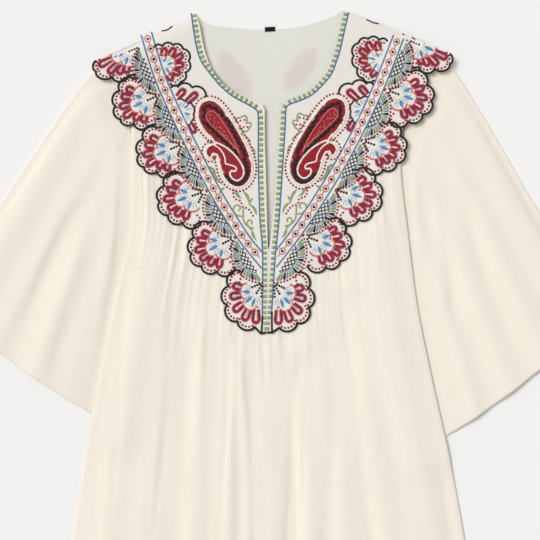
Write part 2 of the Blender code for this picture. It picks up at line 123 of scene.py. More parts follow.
# Broad folds of the front: place at the seam, place at the hem, height, left flank, right flank
FRONT_FOLDS = (
    (0.085, 0.090, 0.0060, 0.024, 0.030), (0.190, 0.195, 0.0070, 0.034, 0.022),
    (0.305, 0.300, 0.0085, 0.030, 0.030), (0.395, 0.402, 0.0110, 0.030, 0.015),
    (0.500, 0.490, 0.0060, 0.026, 0.026), (0.600, 0.585, 0.0115, 0.014, 0.032),
    (0.690, 0.695, 0.0080, 0.028, 0.026), (0.790, 0.800, 0.0080, 0.026, 0.034),
    (0.905, 0.905, 0.0060, 0.030, 0.026),
)
FOLD_NARROWING = 0.55
FOLD_START = 0.035
FOLD_ONSET = 0.300
EDGE_SOFTENING = 0.075

# Sleeves as rows of along, top x, top down, under x, under down
SLEEVES = {
    -1: np.array((
        (0.00, -0.2170, 0.0760, -0.1890, 0.3330), (0.18, -0.2670, 0.0990, -0.1920, 0.3900),
        (0.60, -0.3960, 0.2840, -0.2130, 0.5000), (1.00, -HALF_SPAN, 0.4320, -0.2330, 0.6230),
    )),
    1: np.array((
        (0.00, 0.2230, 0.0640, 0.1810, 0.3330), (0.18, 0.2735, 0.0850, 0.1840, 0.3900),
        (0.60, 0.4030, 0.2970, 0.2060, 0.5100), (1.00, HALF_SPAN, 0.4540, 0.2420, 0.6540),
    )),
}
SLEEVE_HEM_BOW = {-1: 0.010, 1: 0.011}
SLEEVE_FOLDS = {
    -1: ((0.10, 0.16, 0.0060, 0.10, 0.09), (0.34, 0.36, 0.0050, 0.09, 0.05),
         (0.52, 0.58, 0.0075, 0.07, 0.09), (0.72, 0.80, 0.0060, 0.07, 0.06)),
    1: ((0.10, 0.14, 0.0055, 0.09, 0.08), (0.30, 0.33, 0.0075, 0.08, 0.07),
        (0.50, 0.55, 0.0055, 0.09, 0.06), (0.70, 0.76, 0.0070, 0.06, 0.08)),
}
SLEEVE_AIR = 0.0006
SLEEVE_LENGTH = 0.400
COVER_FLAT = 0.016
COVER_SOFTENING = 0.050
LABEL_CENTRE = (0.0030, 0.0292)
LABEL_SIZE = (0.0154, 0.0068)
LABEL_TILT = math.radians(-3.0)
LABEL_LIFT = 0.0007
LABEL_BOW = 0.0005
LABEL_THICKNESS = 0.0006

# Thickness of the drawn shells: light cotton, and the yoke doubled by its needlework
CLOTH_THICKNESS = 0.0006
YOKE_THICKNESS = 0.0009

# How far round the lobes of a flower's edge are, their swell as a part of their chord, and its usual size
LOBE_ROUND = 0.95
LOBE_BULGE = 0.28
LOBE_SWELL = 0.0045


class Stand(Enum):
    """Where a flower stands on the yoke's edge."""

    WHOLE = "whole"
    SHOULDER = "cut by the shoulder"
    CENTRE = "cut by the centre seam"


@dataclass(frozen=True)
class Aim:
    """A place with a direction, for motifs that are drawn round it."""

    middle: Place
    axis: Vector
    upward: Vector

    def at(self, reach: float, turn: float) -> Place:
        """Finds a place round the middle.

        Args:
            reach: Its distance.
            turn: Its turn in degrees, from the axis towards the upper side.

        Returns:
            The place.
        """
        angle = math.radians(turn)
        spot = Vector(self.middle) + (self.axis * math.cos(angle) + self.upward * math.sin(angle)) * reach
        return (spot.x, spot.y)

    def past(self, forward: float, up: float) -> Place:
        """The place some way forward along the axis and some way up."""
        spot = Vector(self.middle) + self.axis * forward + self.upward * up
        return (spot.x, spot.y)


@dataclass(frozen=True)
class Flower:
    """One scalloped flower: root on the band, eye, and the turn and reach of each notch of its edge."""

    root: Place
    eye: Place
    notches: tuple[tuple[float, float], ...]
    size: float = 1.0
    stand: Stand = Stand.WHOLE

    def lobe(self, first: tuple[float, float], last: tuple[float, float], part: float) -> float:
        """Finds the reach of the edge along the lobe between two notches.

        Args:
            first: The turn and reach of the notch before.
            last: Those of the notch after.
            part: How far along the lobe, from 0 to 1.

        Returns:
            The distance from the eye.
        """
        turn = math.radians(first[0] - last[0])
        chord = math.sqrt(first[1] ** 2 + last[1] ** 2 - 2 * first[1] * last[1] * math.cos(turn))
        least = math.sqrt(1 - LOBE_ROUND ** 2)
        swell = (math.sqrt(1 - ((2 * part - 1) * LOBE_ROUND) ** 2) - least) / (1 - least)
        return (mix(first[1], last[1], part) + LOBE_BULGE * chord * swell) * self.size

    def edge(self, turn: float) -> float:
        """The reach of the edge's lobes at a turn, notches left out."""
        turns, reaches = zip(*((-notch[0], notch[1] + LOBE_SWELL) for notch in self.notches))
        return float(np.interp(-turn, turns, reaches)) * self.size

    def aim(self, side: int) -> Aim:
        """The eye, and the direction out from the band."""
        axis = (Vector(self.eye) - Vector(self.root)).normalized()
        return Aim(self.eye, axis, Vector((axis.y, -axis.x)) * side)


# Turn and reach of the notches: of whole flowers, high and low on the edge, and of cut ones
FULL = ((80, 0.0380), (42, 0.0452), (14, 0.0500), (-10, 0.0506), (-34, 0.0418), (-62, 0.0405))
LOW = ((78, 0.0395), (36, 0.0458), (8, 0.0515), (-20, 0.0485), (-50, 0.0445), (-88, 0.0420))
CUT = ((6, 0.0540), (-9, 0.0600), (-34, 0.0477), (-66, 0.0380))
END = ((108, 0.0415), (69, 0.0440), (34, 0.0495), (1, 0.0530), (-29, 0.0530))
FLOWERS = {
    -1: (
        Flower((-0.1940, 0.0580), (-0.2060, 0.0630), CUT, stand=Stand.SHOULDER),
        Flower((-0.1630, 0.1290), (-0.1780, 0.1360), FULL, 1.02),
        Flower((-0.1270, 0.2010), (-0.1435, 0.2085), FULL),
        Flower((-0.0920, 0.2720), (-0.1115, 0.2785), LOW),
        Flower((-0.0495, 0.3415), (-0.0660, 0.3495), LOW),
        Flower((-0.0080, 0.4100), (-0.0165, 0.4230), END, stand=Stand.CENTRE),
    ),
    1: (
        Flower((0.2080, 0.0460), (0.2240, 0.0530), CUT, 0.94, Stand.SHOULDER),
        Flower((0.1745, 0.1210), (0.1930, 0.1275), LOW),
        Flower((0.1400, 0.1965), (0.1570, 0.2025), LOW, 0.92),
        Flower((0.1015, 0.2705), (0.1160, 0.2745), LOW),
        Flower((0.0525, 0.3380), (0.0720, 0.3455), LOW, 0.97),
        Flower((0.0085, 0.4100), (0.0165, 0.4240), END, stand=Stand.CENTRE),
    ),
}


@dataclass(frozen=True)
class Crease:
    """A soft ridge, or a trough where the height is below zero, along places from the top down."""

    places: Path
    height: float
    left: float
    right: float
    fade_in: float = 0.06
    fade_out: float = 0.08


# How much of a crease's height shows once the cloth has settled
CREASE_RELIEF = 0.74
# Creases of the front: places, height, left and right flank and, where they differ, the fades at both ends.
# They follow the photograph to the frame's edge and run on to the hem
FRONT_CREASES = (
    # A ridge left of the middle, and the hollow beside it
    Crease(mm(-45, 489, -40, 555, -35, 615, -32, 690, -30, 783, -36, 1035, -44, 1320),
           0.0044, 0.012, 0.0065),
    Crease(mm(-9, 630, -6, 705, -3, 795, 0, 1035, -9, 1320), -0.0024, 0.011, 0.015, 0.08),
    # The deepest trough, right of the middle, with the fold's edge beyond it
    Crease(mm(50, 498, 46, 555, 41.5, 615, 39.5, 675, 38, 735, 34, 795, 22, 1035, 16, 1320), -0.0066,
           0.011, 0.021),
    Crease(mm(56, 502.5, 52.5, 585, 49, 660, 47, 735, 44, 825),
           0.0008, 0.004, 0.007, 0.03, 0.10),
    Crease(mm(55.5, 555, 54, 615, 52.5, 735, 51, 825, 48, 1035), -0.0016, 0.006, 0.005, 0.05, 0.12),
    # Troughs that fan out to the left
    Crease(mm(-111, 480, -115, 502.5, -118, 555, -120, 615, -123.5, 675, -126.5, 735, -136, 825,
              -156, 1035, -176, 1320),
           -0.0036, 0.015, 0.015),
    Crease(mm(-144, 420, -148.5, 510, -153, 615, -165, 735, -177, 825, -198, 1035, -222, 1320),
           -0.0016, 0.006, 0.006),
    Crease(mm(-93, 457.5, -99, 502.5, -102, 585, -108, 690), 0.0024, 0.010, 0.006, 0.03, 0.12),
    Crease(mm(-60, 483, -60, 555, -61.5, 630, -69, 735, -75, 885), -0.0022, 0.006, 0.004, 0.02, 0.15),
    Crease(mm(-174, 675, -183, 825, -192, 1035, -204, 1320), -0.0013, 0.007, 0.008, 0.10),
    Crease(mm(-210, 307.5, -216, 435, -222, 585, -240, 825), -0.0014, 0.006, 0.007, 0.05, 0.15),
    # Troughs that fan out to the right
    Crease(mm(81, 435, 88.5, 502.5, 99, 615, 94.5, 735, 90, 825, 93, 1035, 99, 1320),
           -0.0042, 0.012, 0.016),
    Crease(mm(109.5, 420, 123, 502.5, 136.5, 615, 148.5, 735, 159, 825, 180, 1035, 198, 1320),
           -0.0026, 0.009, 0.015),
    Crease(mm(168, 390, 181.5, 502.5, 208.5, 615, 225, 735, 240, 825, 264, 1035, 291, 1320),
           -0.0020, 0.009, 0.015),
    Crease(mm(258, 660, 267, 735, 276, 825, 291, 1035, 309, 1320), -0.0018, 0.009, 0.015, 0.08),
    # A short pleat under the point
    Crease(mm(-12, 492, -9, 510, -3, 585), -0.0016, 0.003, 0.004, 0.01, 0.05),
    # Below what is shown the skirt goes on in the same way
    Crease(mm(-3, 765, -6, 945, 0, 1320), 0.0030, 0.012, 0.016, 0.12, 0.03),
    Crease(mm(-84, 825, -94.5, 1035, -103.5, 1320), 0.0028, 0.014, 0.010, 0.10, 0.03),
    Crease(mm(66, 870, 75, 1065, 87, 1320), 0.0026, 0.010, 0.013, 0.09, 0.03),
    Crease(mm(-198, 885, -228, 1095, -252, 1320), -0.0026, 0.009, 0.015, 0.09, 0.03),
    Crease(mm(216, 945, 237, 1125, 258, 1320), -0.0026, 0.009, 0.015, 0.08, 0.03),
)
SLEEVE_CREASES = {
    -1: (
        Crease(mm(-276, 262.5, -321, 360, -345, 420, -369, 480), -0.0030, 0.009, 0.015),
        Crease(mm(-255, 277.5, -273, 360, -306, 480, -333, 573), -0.0028, 0.009, 0.015),
        Crease(mm(-225, 232.5, -234, 360, -241.5, 480, -255, 585), 0.0036, 0.016, 0.0055),
        Crease(mm(-201, 270, -207, 360, -216, 465), -0.0018, 0.006, 0.005, 0.03, 0.08),
    ),
    1: (
        Crease(mm(216, 240, 223.5, 360, 229.5, 435), 0.0022, 0.006, 0.006, 0.03, 0.08),
        Crease(mm(234, 270, 244.5, 360, 252, 435), -0.0020, 0.009, 0.012, 0.05, 0.08),
        Crease(mm(258, 262.5, 270, 360, 276, 420, 282, 502.5), -0.0036, 0.009, 0.015, 0.05, 0.09),
        Crease(mm(219, 345, 234, 480, 247.5, 600), -0.0030, 0.009, 0.012, 0.06, 0.06),
        Crease(mm(291, 255, 315, 360, 352.5, 480, 381, 547.5), -0.0028, 0.011, 0.015),
    ),
}


def smooth(value: np.ndarray) -> np.ndarray:
    """An S-shaped rise from zero to one."""
    held = np.clip(value, 0.0, 1.0)
    return held * held * (3.0 - 2.0 * held)


def mix(low: float, high: float, part: float) -> float:
    """The value a part of the way from low to high."""
    return low + (high - low) * part


def read_table(rows: np.ndarray, keys: np.ndarray, column: int) -> np.ndarray:
    """Reads a column on a smooth line through a table's rows.

    Args:
        rows: The table, its keys in the first column.
        keys: Where to read it.
        column: The column to read.

    Returns:
        The column's value at each key.
    """
    keys = np.asarray(keys, dtype=float)
    index = np.clip(np.searchsorted(rows[:, 0], keys, side="left") - 1, 0, len(rows) - 2)
    span = rows[index + 1, 0] - rows[index, 0]
    part = np.clip((keys - rows[index, 0]) / span, 0.0, 1.0)
    slopes = []
    for row in (index, index + 1):
        before, after = np.maximum(row - 1, 0), np.minimum(row + 1, len(rows) - 1)
        rise = rows[after, column] - rows[before, column]
        slopes.append(rise / (rows[after, 0] - rows[before, 0]) * span)
    square, cube = part ** 2, part ** 3
    return (rows[index, column] * (2 * cube - 3 * square + 1) + slopes[0] * (cube - 2 * square + part)
            + rows[index + 1, column] * (3 * square - 2 * cube) + slopes[1] * (cube - square))


def curve_through(points: Path, steps: int) -> Path:
    """Draws a smooth curve through places.

    Args:
        points: The places, both ends kept.
        steps: How many steps lie between one place and the next.

    Returns:
        The curve's places.
    """
    spots = np.array(points, dtype=float)
    part = np.arange(steps)[:, None] / steps
    path = []
    for index in range(len(spots) - 1):
        before, start = spots[max(index - 1, 0)], spots[index]
        end, after = spots[index + 1], spots[min(index + 2, len(spots) - 1)]
        path += (0.5 * (2 * start + (end - before) * part
                        + (2 * before - 5 * start + 4 * end - after) * part ** 2
                        + (3 * start - before - 3 * end + after) * part ** 3)).tolist()
    path.append(spots[-1].tolist())
    return [(x, down) for x, down in path]


class Outline:
    """A closed outline that tells how far places lie from it."""

    def __init__(self, places: Path) -> None:
        """Keeps the outline's corners.

        Args:
            places: The corners.
        """
        self.places = places
        self.ends = np.array(places)
        self.starts = np.roll(self.ends, 1, axis=0)

    def contains(self, xs: np.ndarray, downs: np.ndarray) -> np.ndarray:
        """Tells which places lie within the outline.

        Args:
            xs: The places' x.
            downs: The places' down.

        Returns:
            True for each place within.
        """
        inside = np.zeros(np.shape(xs), dtype=bool)
        for (start_x, start_down), (end_x, end_down) in zip(self.starts, self.ends):
            if start_down == end_down:
                continue
            crossing = start_x + (downs - start_down) / (end_down - start_down) * (end_x - start_x)
            inside ^= ((start_down > downs) != (end_down > downs)) & (xs < crossing)
        return inside

    def edge_gap(self, xs: np.ndarray, downs: np.ndarray) -> np.ndarray:
        """Measures how far places lie from the outline's edge.

        Args:
            xs: The places' x.
            downs: The places' down.

        Returns:
            The distance of each place.
        """
        nearest = np.full(np.shape(xs), np.inf)
        for start, end in zip(self.starts, self.ends):
            nearest = np.minimum(nearest, gap_to_line(xs, downs, start, end))
        return nearest

    def gap(self, xs: np.ndarray, downs: np.ndarray) -> np.ndarray:
        """How far each place lies outside the outline, and zero within it."""
        return np.where(self.contains(xs, downs), 0.0, self.edge_gap(xs, downs))


def gap_to_line(xs: np.ndarray, downs: np.ndarray, start: Place, end: Place) -> np.ndarray:
    """Measures how far places lie from a straight edge.

    Args:
        xs: The places' x.
        downs: The places' down.
        start: One end of the edge.
        end: Its other end.

    Returns:
        The distance of each place.
    """
    run_x, run_down = end[0] - start[0], end[1] - start[1]
    length = max(run_x * run_x + run_down * run_down, 1e-12)
    part = np.clip(((xs - start[0]) * run_x + (downs - start[1]) * run_down) / length, 0.0, 1.0)
    return np.hypot(xs - start[0] - run_x * part, downs - start[1] - run_down * part)


def flower_lobes(flower: Flower, side: int, steps: int, inset: float = 0.0) -> Path:
    """Draws the scalloped edge of one flower, from its upper notch to its lower one.

    Args:
        flower: The flower.
        side: -1 for the left, 1 for the right.
        steps: Steps along each lobe.
        inset: How far inside the edge the line runs.

    Returns:
        The edge's places.
    """
    aim = flower.aim(side)
    edge = []
    for first, last in zip(flower.notches, flower.notches[1:]):
        for part in (step / steps for step in range(steps)):
            edge.append(aim.at(flower.lobe(first, last, part) - inset, mix(first[0], last[0], part)))
    edge.append(aim.at(flower.notches[-1][1] * flower.size - inset, flower.notches[-1][0]))
    return edge


def scallops(side: int, steps: int) -> Path:
    """Draws the yoke's lower edge on one side, from the shoulder to the centre front.

    Args:
        side: -1 for the left, 1 for the right.
        steps: Steps along each lobe.

    Returns:
        The edge's places.
    """
    edge = [spot for flower in FLOWERS[side] for spot in flower_lobes(flower, side, steps)]
    tip = YOKE_TIPS[side]
    return [spot for spot in edge if spot[0] * side > tip[0] * side + 0.004] + [tip]


def column_pair(rows: tuple[tuple[float, ...], ...], side: int) -> Path:
    """One side's places out of a table that holds both sides."""
    first = 0 if side < 0 else 2
    return [(row[first], row[first + 1]) for row in rows]


def front_yoke_outline(side: int, steps: int) -> Path:
    """Draws one front yoke: shoulder, flowers, centre seam, slit and neck.

    Args:
        side: -1 for the left, 1 for the right.
        steps: Steps along each lobe.

    Returns:
        The closed outline.
    """
    neck = curve_through(column_pair(NECK, side), steps)
    slit = curve_through(column_pair(SLIT, side), steps)
    half_gap = SEAM_GAP / 2 * side
    foot = (CENTRE_FOOT[0] + half_gap, CENTRE_FOOT[1])
    fork = (SLIT[-1][0] + SEAM_GAP * 3 + half_gap, SLIT[-1][1] + 0.006)
    return neck[:1] + list(SHOULDER[side]) + scallops(side, steps) + [foot, fork] + slit[::-1] + neck[:0:-1]


def back_yoke_outline(steps: int) -> Path:
    """Draws the back yoke: the flowers of both sides below, and the back neck above.

    Args:
        steps: Steps along each lobe.

    Returns:
        The closed outline.
    """
    left = list(SHOULDER[-1]) + scallops(-1, steps)
    right = list(SHOULDER[1]) + scallops(1, steps)
    return left + right[::-1] + curve_through(list(BACK_NECK), steps)[::-1]


def sleeve_place(side: int, along: np.ndarray, across: np.ndarray) -> tuple[np.ndarray, np.ndarray]:
    """Finds places on a sleeve between its fold edge and its underarm edge.

    Args:
        side: -1 for the left, 1 for the right.
        along: From the armhole, 0, to the hem, 1.
        across: From the fold edge, 0, to the underarm, 1.

    Returns:
        The places' x and down.
    """
    top_x, top_down, under_x, under_down = (read_table(SLEEVES[side], along, column)
                                            for column in (1, 2, 3, 4))
    bow = SLEEVE_HEM_BOW[side] * along * along * 4 * across * (1 - across)
    length = np.hypot(under_x - top_x, under_down - top_down)
    run_x, run_down = (under_x - top_x) / length, (under_down - top_down) / length
    return (top_x + (under_x - top_x) * across + run_down * side * bow,
            top_down + (under_down - top_down) * across - run_x * side * bow)


def sleeve_outline(side: int) -> Path:
    """Draws a sleeve as it lies, seen from above.

    Args:
        side: -1 for the left, 1 for the right.

    Returns:
        The closed outline.
    """
    steps = np.linspace(0.0, 1.0, 13)
    ends = np.ones(12)
    runs = ((steps, steps * 0.0), (ends, steps[1:]), (steps[::-1][1:], ends))
    return [(x, down) for run in runs for x, down in zip(*sleeve_place(side, *run))]


def body_place(across: np.ndarray, fall: np.ndarray) -> tuple[np.ndarray, np.ndarray]:
    """Finds places on the front or back.

    Args:
        across: Part of the width, from the left side edge.
        fall: Part of the way from the seam to the hem.

    Returns:
        The places' x and down.
    """
    seam_down = read_table(SEAM, across, 1)
    down = seam_down + (LENGTH - HEM_RISE * (2 * across - 1) ** 2 - seam_down) * fall
    left, right = read_table(SIDES, down, 1), read_table(SIDES, down, 2)
    return left + (right - left) * across, down


class Lie:
    """How high each layer lies at a place, on what is under it."""

    def __init__(self) -> None:
        """Draws the outlines of what lies below."""
        self.back_yoke = Outline(back_yoke_outline(4))
        self.sleeves = {side: Outline(sleeve_outline(side)) for side in (-1, 1)}

    def back(self, xs: np.ndarray, downs: np.ndarray) -> np.ndarray:
        """The underside of the back, lifted over the back yoke."""
        return self.over_back_yoke(xs, downs) + self.over_sleeves(xs, downs)

    def over_back_yoke(self, xs: np.ndarray, downs: np.ndarray) -> np.ndarray:
        """The lift that clears the back yoke."""
        return OVER_BACK_YOKE * (1 - smooth((self.back_yoke.gap(xs, downs) - LIFT_FLAT) / LIFT_SLOPE))

    def over_sleeves(self, xs: np.ndarray, downs: np.ndarray) -> np.ndarray:
        """The lift that clears the sleeve on each place's side."""
        gap = np.where(xs < 0, self.sleeves[-1].gap(xs, downs), self.sleeves[1].gap(xs, downs))
        return OVER_SLEEVE * (1 - smooth((gap - LIFT_FLAT) / LIFT_SLOPE))

    def front_yoke(self, xs: np.ndarray, downs: np.ndarray, side: int) -> np.ndarray:
        """Finds the top of a front yoke's cloth, rolled down along the shoulder fold.

        Args:
            xs: The places' x.
            downs: The places' down.
            side: -1 for the left, 1 for the right.

        Returns:
            The height of each place.
        """
        fold = column_pair(NECK, side)[:1] + list(SHOULDER[side])
        gap = np.full(np.shape(xs), np.inf)
        for start, end in zip(fold, fold[1:]):
            gap = np.minimum(gap, gap_to_line(xs, downs, start, end))
        held = smooth((np.abs(xs) - SHOULDER_END[0]) / (SHOULDER_END[1] - SHOULDER_END[0]))
        rise = np.maximum(np.sin(np.clip(gap / SHOULDER_ROLL, 0.0, 1.0) * math.pi / 2), held)
        base = SHOULDER_HEIGHT + (YOKE_HEIGHT - SHOULDER_HEIGHT) * rise
        # The weight of the needlework leaves the cloth a little uneven
        sway = 0.0005 * np.sin(xs * 61 + downs * 23) * np.sin(downs * 47 - xs * 19) * rise
        return base + self.over_sleeves(xs, downs) * rise + FRONT_WALL + sway


def fold_height(across: np.ndarray, fall: np.ndarray, width: np.ndarray) -> np.ndarray:
    """Measures how far the front's broad folds stand up.

    Args:
        across: Part of the width.
        fall: Part of the way from the seam to the hem.
        width: The width in metres there.

    Returns:
        The height of each place.
    """
    height = np.zeros_like(across)
    for seam, hem, rise, left, right in FRONT_FOLDS:
        run = (across - mix(seam, hem, fall)) * width
        flank = np.where(run < 0, left, right) * mix(FOLD_NARROWING, 1.0, fall)
        height += rise * np.exp(-(run / flank) ** 2)
    return height * smooth(np.minimum(across, 1 - across) / EDGE_SOFTENING)


def crease_height(creases: tuple[Crease, ...], xs: np.ndarray, downs: np.ndarray) -> np.ndarray:
    """Adds up creases at places.

    Args:
        creases: The ridges and troughs.
        xs: The places' x.
        downs: The places' down.

    Returns:
        The height that they add.
    """
    height = np.zeros_like(xs)
    for crease in creases:
        line = np.array(curve_through(crease.places, 8))
        run = xs - np.interp(downs, line[:, 1], line[:, 0])
        flank = np.where(run < 0, crease.left, crease.right)
        start = smooth((downs - line[0, 1]) / crease.fade_in)
        end = smooth((line[-1, 1] - downs) / crease.fade_out)
        # Each crease swells and thins along its own length
        swell = 0.85 + 0.25 * np.sin(downs * 21 + line[0, 0] * 90)
        height += CREASE_RELIEF * crease.height * np.exp(-(run / flank) ** 2) * start * end * swell
    return height


class NodeKind(Enum):
    """The shader and geometry nodes that are used here."""

    PRINCIPLED = "ShaderNodeBsdfPrincipled"
    OUTPUT = "ShaderNodeOutputMaterial"
    UV = "ShaderNodeUVMap"
    COORDINATES = "ShaderNodeTexCoord"
    ATTRIBUTE = "ShaderNodeAttribute"
    MAPPING = "ShaderNodeMapping"
    NOISE = "ShaderNodeTexNoise"
    WAVE = "ShaderNodeTexWave"
    MATHS = "ShaderNodeMath"
    RANGE = "ShaderNodeMapRange"
    COLOUR_MIX = "ShaderNodeMix"
    BUMP = "ShaderNodeBump"
    GROUP_IN = "NodeGroupInput"
    GROUP_OUT = "NodeGroupOutput"
    TO_CURVE = "GeometryNodeMeshToCurve"
    RESAMPLE = "GeometryNodeResampleCurve"
    TANGENT = "GeometryNodeInputTangent"
    NAMED = "GeometryNodeInputNamedAttribute"
    STORE = "GeometryNodeStoreNamedAttribute"
    SPHERE = "GeometryNodeMeshUVSphere"
    INSTANCE = "GeometryNodeInstanceOnPoints"
    AXES = "FunctionNodeAxesToRotation"
    ROTATE = "FunctionNodeRotateRotation"
    TRANSFORM = "GeometryNodeTransform"
    EULER = "FunctionNodeEulerToRotation"
    RANDOM = "FunctionNodeRandomValue"
    COMBINE = "ShaderNodeCombineXYZ"
    REALIZE = "GeometryNodeRealizeInstances"
    SET_MATERIAL = "GeometryNodeSetMaterial"
    SET_SMOOTH = "GeometryNodeSetShadeSmooth"


def add_node(tree: bpy.types.NodeTree, kind: NodeKind, inputs: dict | None = None,
             **settings: object) -> bpy.types.bpy_prop_collection:
    """Adds a node with its settings and its inputs.

    Args:
        tree: The tree that takes it.
        kind: The kind of node.
        inputs: For each input, by name or number, a value or the socket that feeds it.
        settings: Values of the node's own properties.

    Returns:
        The node's outputs.
    """
    node = tree.nodes.new(kind.value)
    for name, value in settings.items():
        setattr(node, name, value)
    for key, value in (inputs or {}).items():
        if isinstance(value, bpy.types.NodeSocket):
            tree.links.new(value, node.inputs[key])
        else:
            node.inputs[key].default_value = value
    return node.outputs


def linear(code: str) -> tuple[float, float, float, float]:
    """Turns an sRGB colour such as #F0E9DC into a linear one.

    Args:
        code: The colour's hex code.

    Returns:
        Red, green, blue and a full alpha.
    """
    parts = [int(code[start:start + 2], 16) / 255 for start in (1, 3, 5)]
    red, green, blue = (part / 12.92 if part <= 0.04045 else ((part + 0.055) / 1.055) ** 2.4
                        for part in parts)
    return (red, green, blue, 1.0)


def new_tree(name: str) -> tuple[bpy.types.Material, bpy.types.NodeTree]:
    """Makes an empty material.

    Args:
        name: Its name.

    Returns:
        The material and its node tree.
    """
    material = bpy.data.materials.new(name)
    material.use_nodes = True
    material.node_tree.nodes.clear()
    return material, material.node_tree


def surface(tree: bpy.types.NodeTree, relief: bpy.types.NodeSocket, strength: float, depth: float,
            looks: dict) -> None:
    """Ends a material's tree with its relief and its shader.

    Args:
        tree: The tree.
        relief: What stands up from the surface, from 0 to 1.
        strength: How much of the relief shows.
        depth: Its depth in metres.
        looks: The shader's other inputs.
    """
    bump = add_node(tree, NodeKind.BUMP, {"Height": relief, "Strength": strength, "Distance": depth})
    shader = add_node(tree, NodeKind.PRINCIPLED, looks | {"Normal": bump["Normal"]})
    add_node(tree, NodeKind.OUTPUT, {"Surface": shader["BSDF"]})


@dataclass(frozen=True)
class WovenCotton:
    """Plain-weave cotton. Short fibres make it matt with a faint bloom of stray hairs at grazing angles.

    The real weave has about 0.4 mm between threads, under a pixel here, so it is drawn at 0.9 mm.
    """

    name: str
    colour: str
    slub: float = 0.035
    bloom: float = 0.15
    pitch_mm: float = 0.9
    ghost: str = ""

    def build(self) -> bpy.types.Material:
        """Makes the material: cloth colour, uneven yarn, and the weave as a low bump.

        Returns:
            The material.
        """
        material, tree = new_tree(self.name)
        grain = add_node(tree, NodeKind.UV, uv_map="grain")["UV"]
        threads_per_metre = 1000.0 / self.pitch_mm
        waves = []
        streaks = []
        for axis, stretch in (("X", (1.0, 0.035, 1.0)), ("Y", (0.035, 1.0, 1.0))):
            wave = add_node(tree, NodeKind.WAVE, {"Vector": grain, "Scale": threads_per_metre / 2,
                                                  "Distortion": 0.6, "Detail": 0.0}, bands_direction=axis)
            waves.append(wave["Fac"])
            drawn_out = add_node(tree, NodeKind.MAPPING, {"Vector": grain, "Scale": stretch})
            noise = add_node(tree, NodeKind.NOISE, {"Vector": drawn_out["Vector"], "Scale": 520.0,
                                                    "Detail": 2.0, "Roughness": 0.6})
            streaks.append(noise["Fac"])
        cloud = add_node(tree, NodeKind.NOISE, {"Vector": grain, "Scale": 9.0, "Detail": 3.0})
        yarn = add_node(tree, NodeKind.MATHS, {0: streaks[0], 1: streaks[1]}, operation="ADD")[0]
        uneven = add_node(tree, NodeKind.MATHS, {0: cloud["Fac"], 1: 0.5, 2: yarn},
                          operation="MULTIPLY_ADD")
        tone = add_node(tree, NodeKind.RANGE, {"Value": uneven[0], "From Min": 0.75, "From Max": 1.75,
                                               "To Min": 1.0 - self.slub, "To Max": 1.0 + self.slub})
        base = add_node(tree, NodeKind.COLOUR_MIX,
                        {"Factor": 1.0, "A": linear(self.colour), "B": tone["Result"]},
                        data_type="RGBA", blend_type="MULTIPLY")["Result"]
        if self.ghost:
            shadow = add_node(tree, NodeKind.ATTRIBUTE, attribute_name="ghost")
            base = add_node(tree, NodeKind.COLOUR_MIX,
                            {"Factor": shadow["Fac"], "A": base, "B": linear(self.ghost)},
                            data_type="RGBA")["Result"]
        weave = add_node(tree, NodeKind.MATHS, {0: waves[0], 1: waves[1]}, operation="MULTIPLY")[0]
        relief = add_node(tree, NodeKind.MATHS, {0: weave, 1: yarn}, operation="ADD")[0]
        surface(tree, relief, 0.22, 0.00015,
                {"Base Color": base, "Roughness": 0.86, "Specular IOR Level": 0.25,
                 "Sheen Weight": self.bloom, "Sheen Roughness": 0.5})
        return material


@dataclass(frozen=True)
class Floss:
    """Mercerised embroidery cotton: caustic soda swells and smooths the yarn, so it has a silky glint.

    Each stitch carries its own shade, because a lay of thread catches the light at its own angle.
    """

    name: str
    colour: str
    roughness: float = 0.46
    glint: float = 0.35

    def build(self) -> bpy.types.Material:
        """Makes the material: thread colour varied stitch by stitch, with fine plies as a bump.

        Returns:
            The material.
        """
        material, tree = new_tree(self.name)
        shade = add_node(tree, NodeKind.ATTRIBUTE, attribute_name="shade")
        tone = add_node(tree, NodeKind.RANGE, {"Value": shade["Fac"], "From Min": 0.0, "From Max": 1.0,
                                               "To Min": 0.84, "To Max": 1.14})
        base = add_node(tree, NodeKind.COLOUR_MIX,
                        {"Factor": 1.0, "A": linear(self.colour), "B": tone["Result"]},
                        data_type="RGBA", blend_type="MULTIPLY")
        place = add_node(tree, NodeKind.COORDINATES)
        plies = add_node(tree, NodeKind.NOISE, {"Vector": place["Object"], "Scale": 2200.0, "Detail": 1.0})
        surface(tree, plies["Fac"], 0.25, 0.0001,
                {"Base Color": base["Result"], "Roughness": self.roughness,
                 "Specular IOR Level": self.glint, "Sheen Weight": 0.08})
        return material


@dataclass(frozen=True)
class PaintedFloor:
    """Matt studio paint: rolled on, so it has no gloss and only the faintest unevenness."""

    colour: str

    def build(self) -> bpy.types.Material:
        """Makes the material: flat paint with a very low roller texture.

        Returns:
            The material.
        """
        material, tree = new_tree("studio_paint")
        place = add_node(tree, NodeKind.COORDINATES)
        roller = add_node(tree, NodeKind.NOISE, {"Vector": place["Object"], "Scale": 300.0, "Detail": 1.0})
        surface(tree, roller["Fac"], 0.05, 0.0001,
                {"Base Color": linear(self.colour), "Roughness": 0.95, "Specular IOR Level": 0.1})
        return material


def to_world(xs: np.ndarray, downs: np.ndarray, heights: np.ndarray) -> np.ndarray:
    """Places of the dress as points of the frame."""
    return np.stack([xs, TOP_Y - downs, heights], axis=-1)


def put(name: str, data: bpy.types.ID) -> bpy.types.Object:
    """Puts an object in the scene.

    Args:
        name: Its name.
        data: Its mesh, light or camera.

    Returns:
        The object.
    """
    item = bpy.data.objects.new(name, data)
    bpy.context.scene.collection.objects.link(item)
    return item


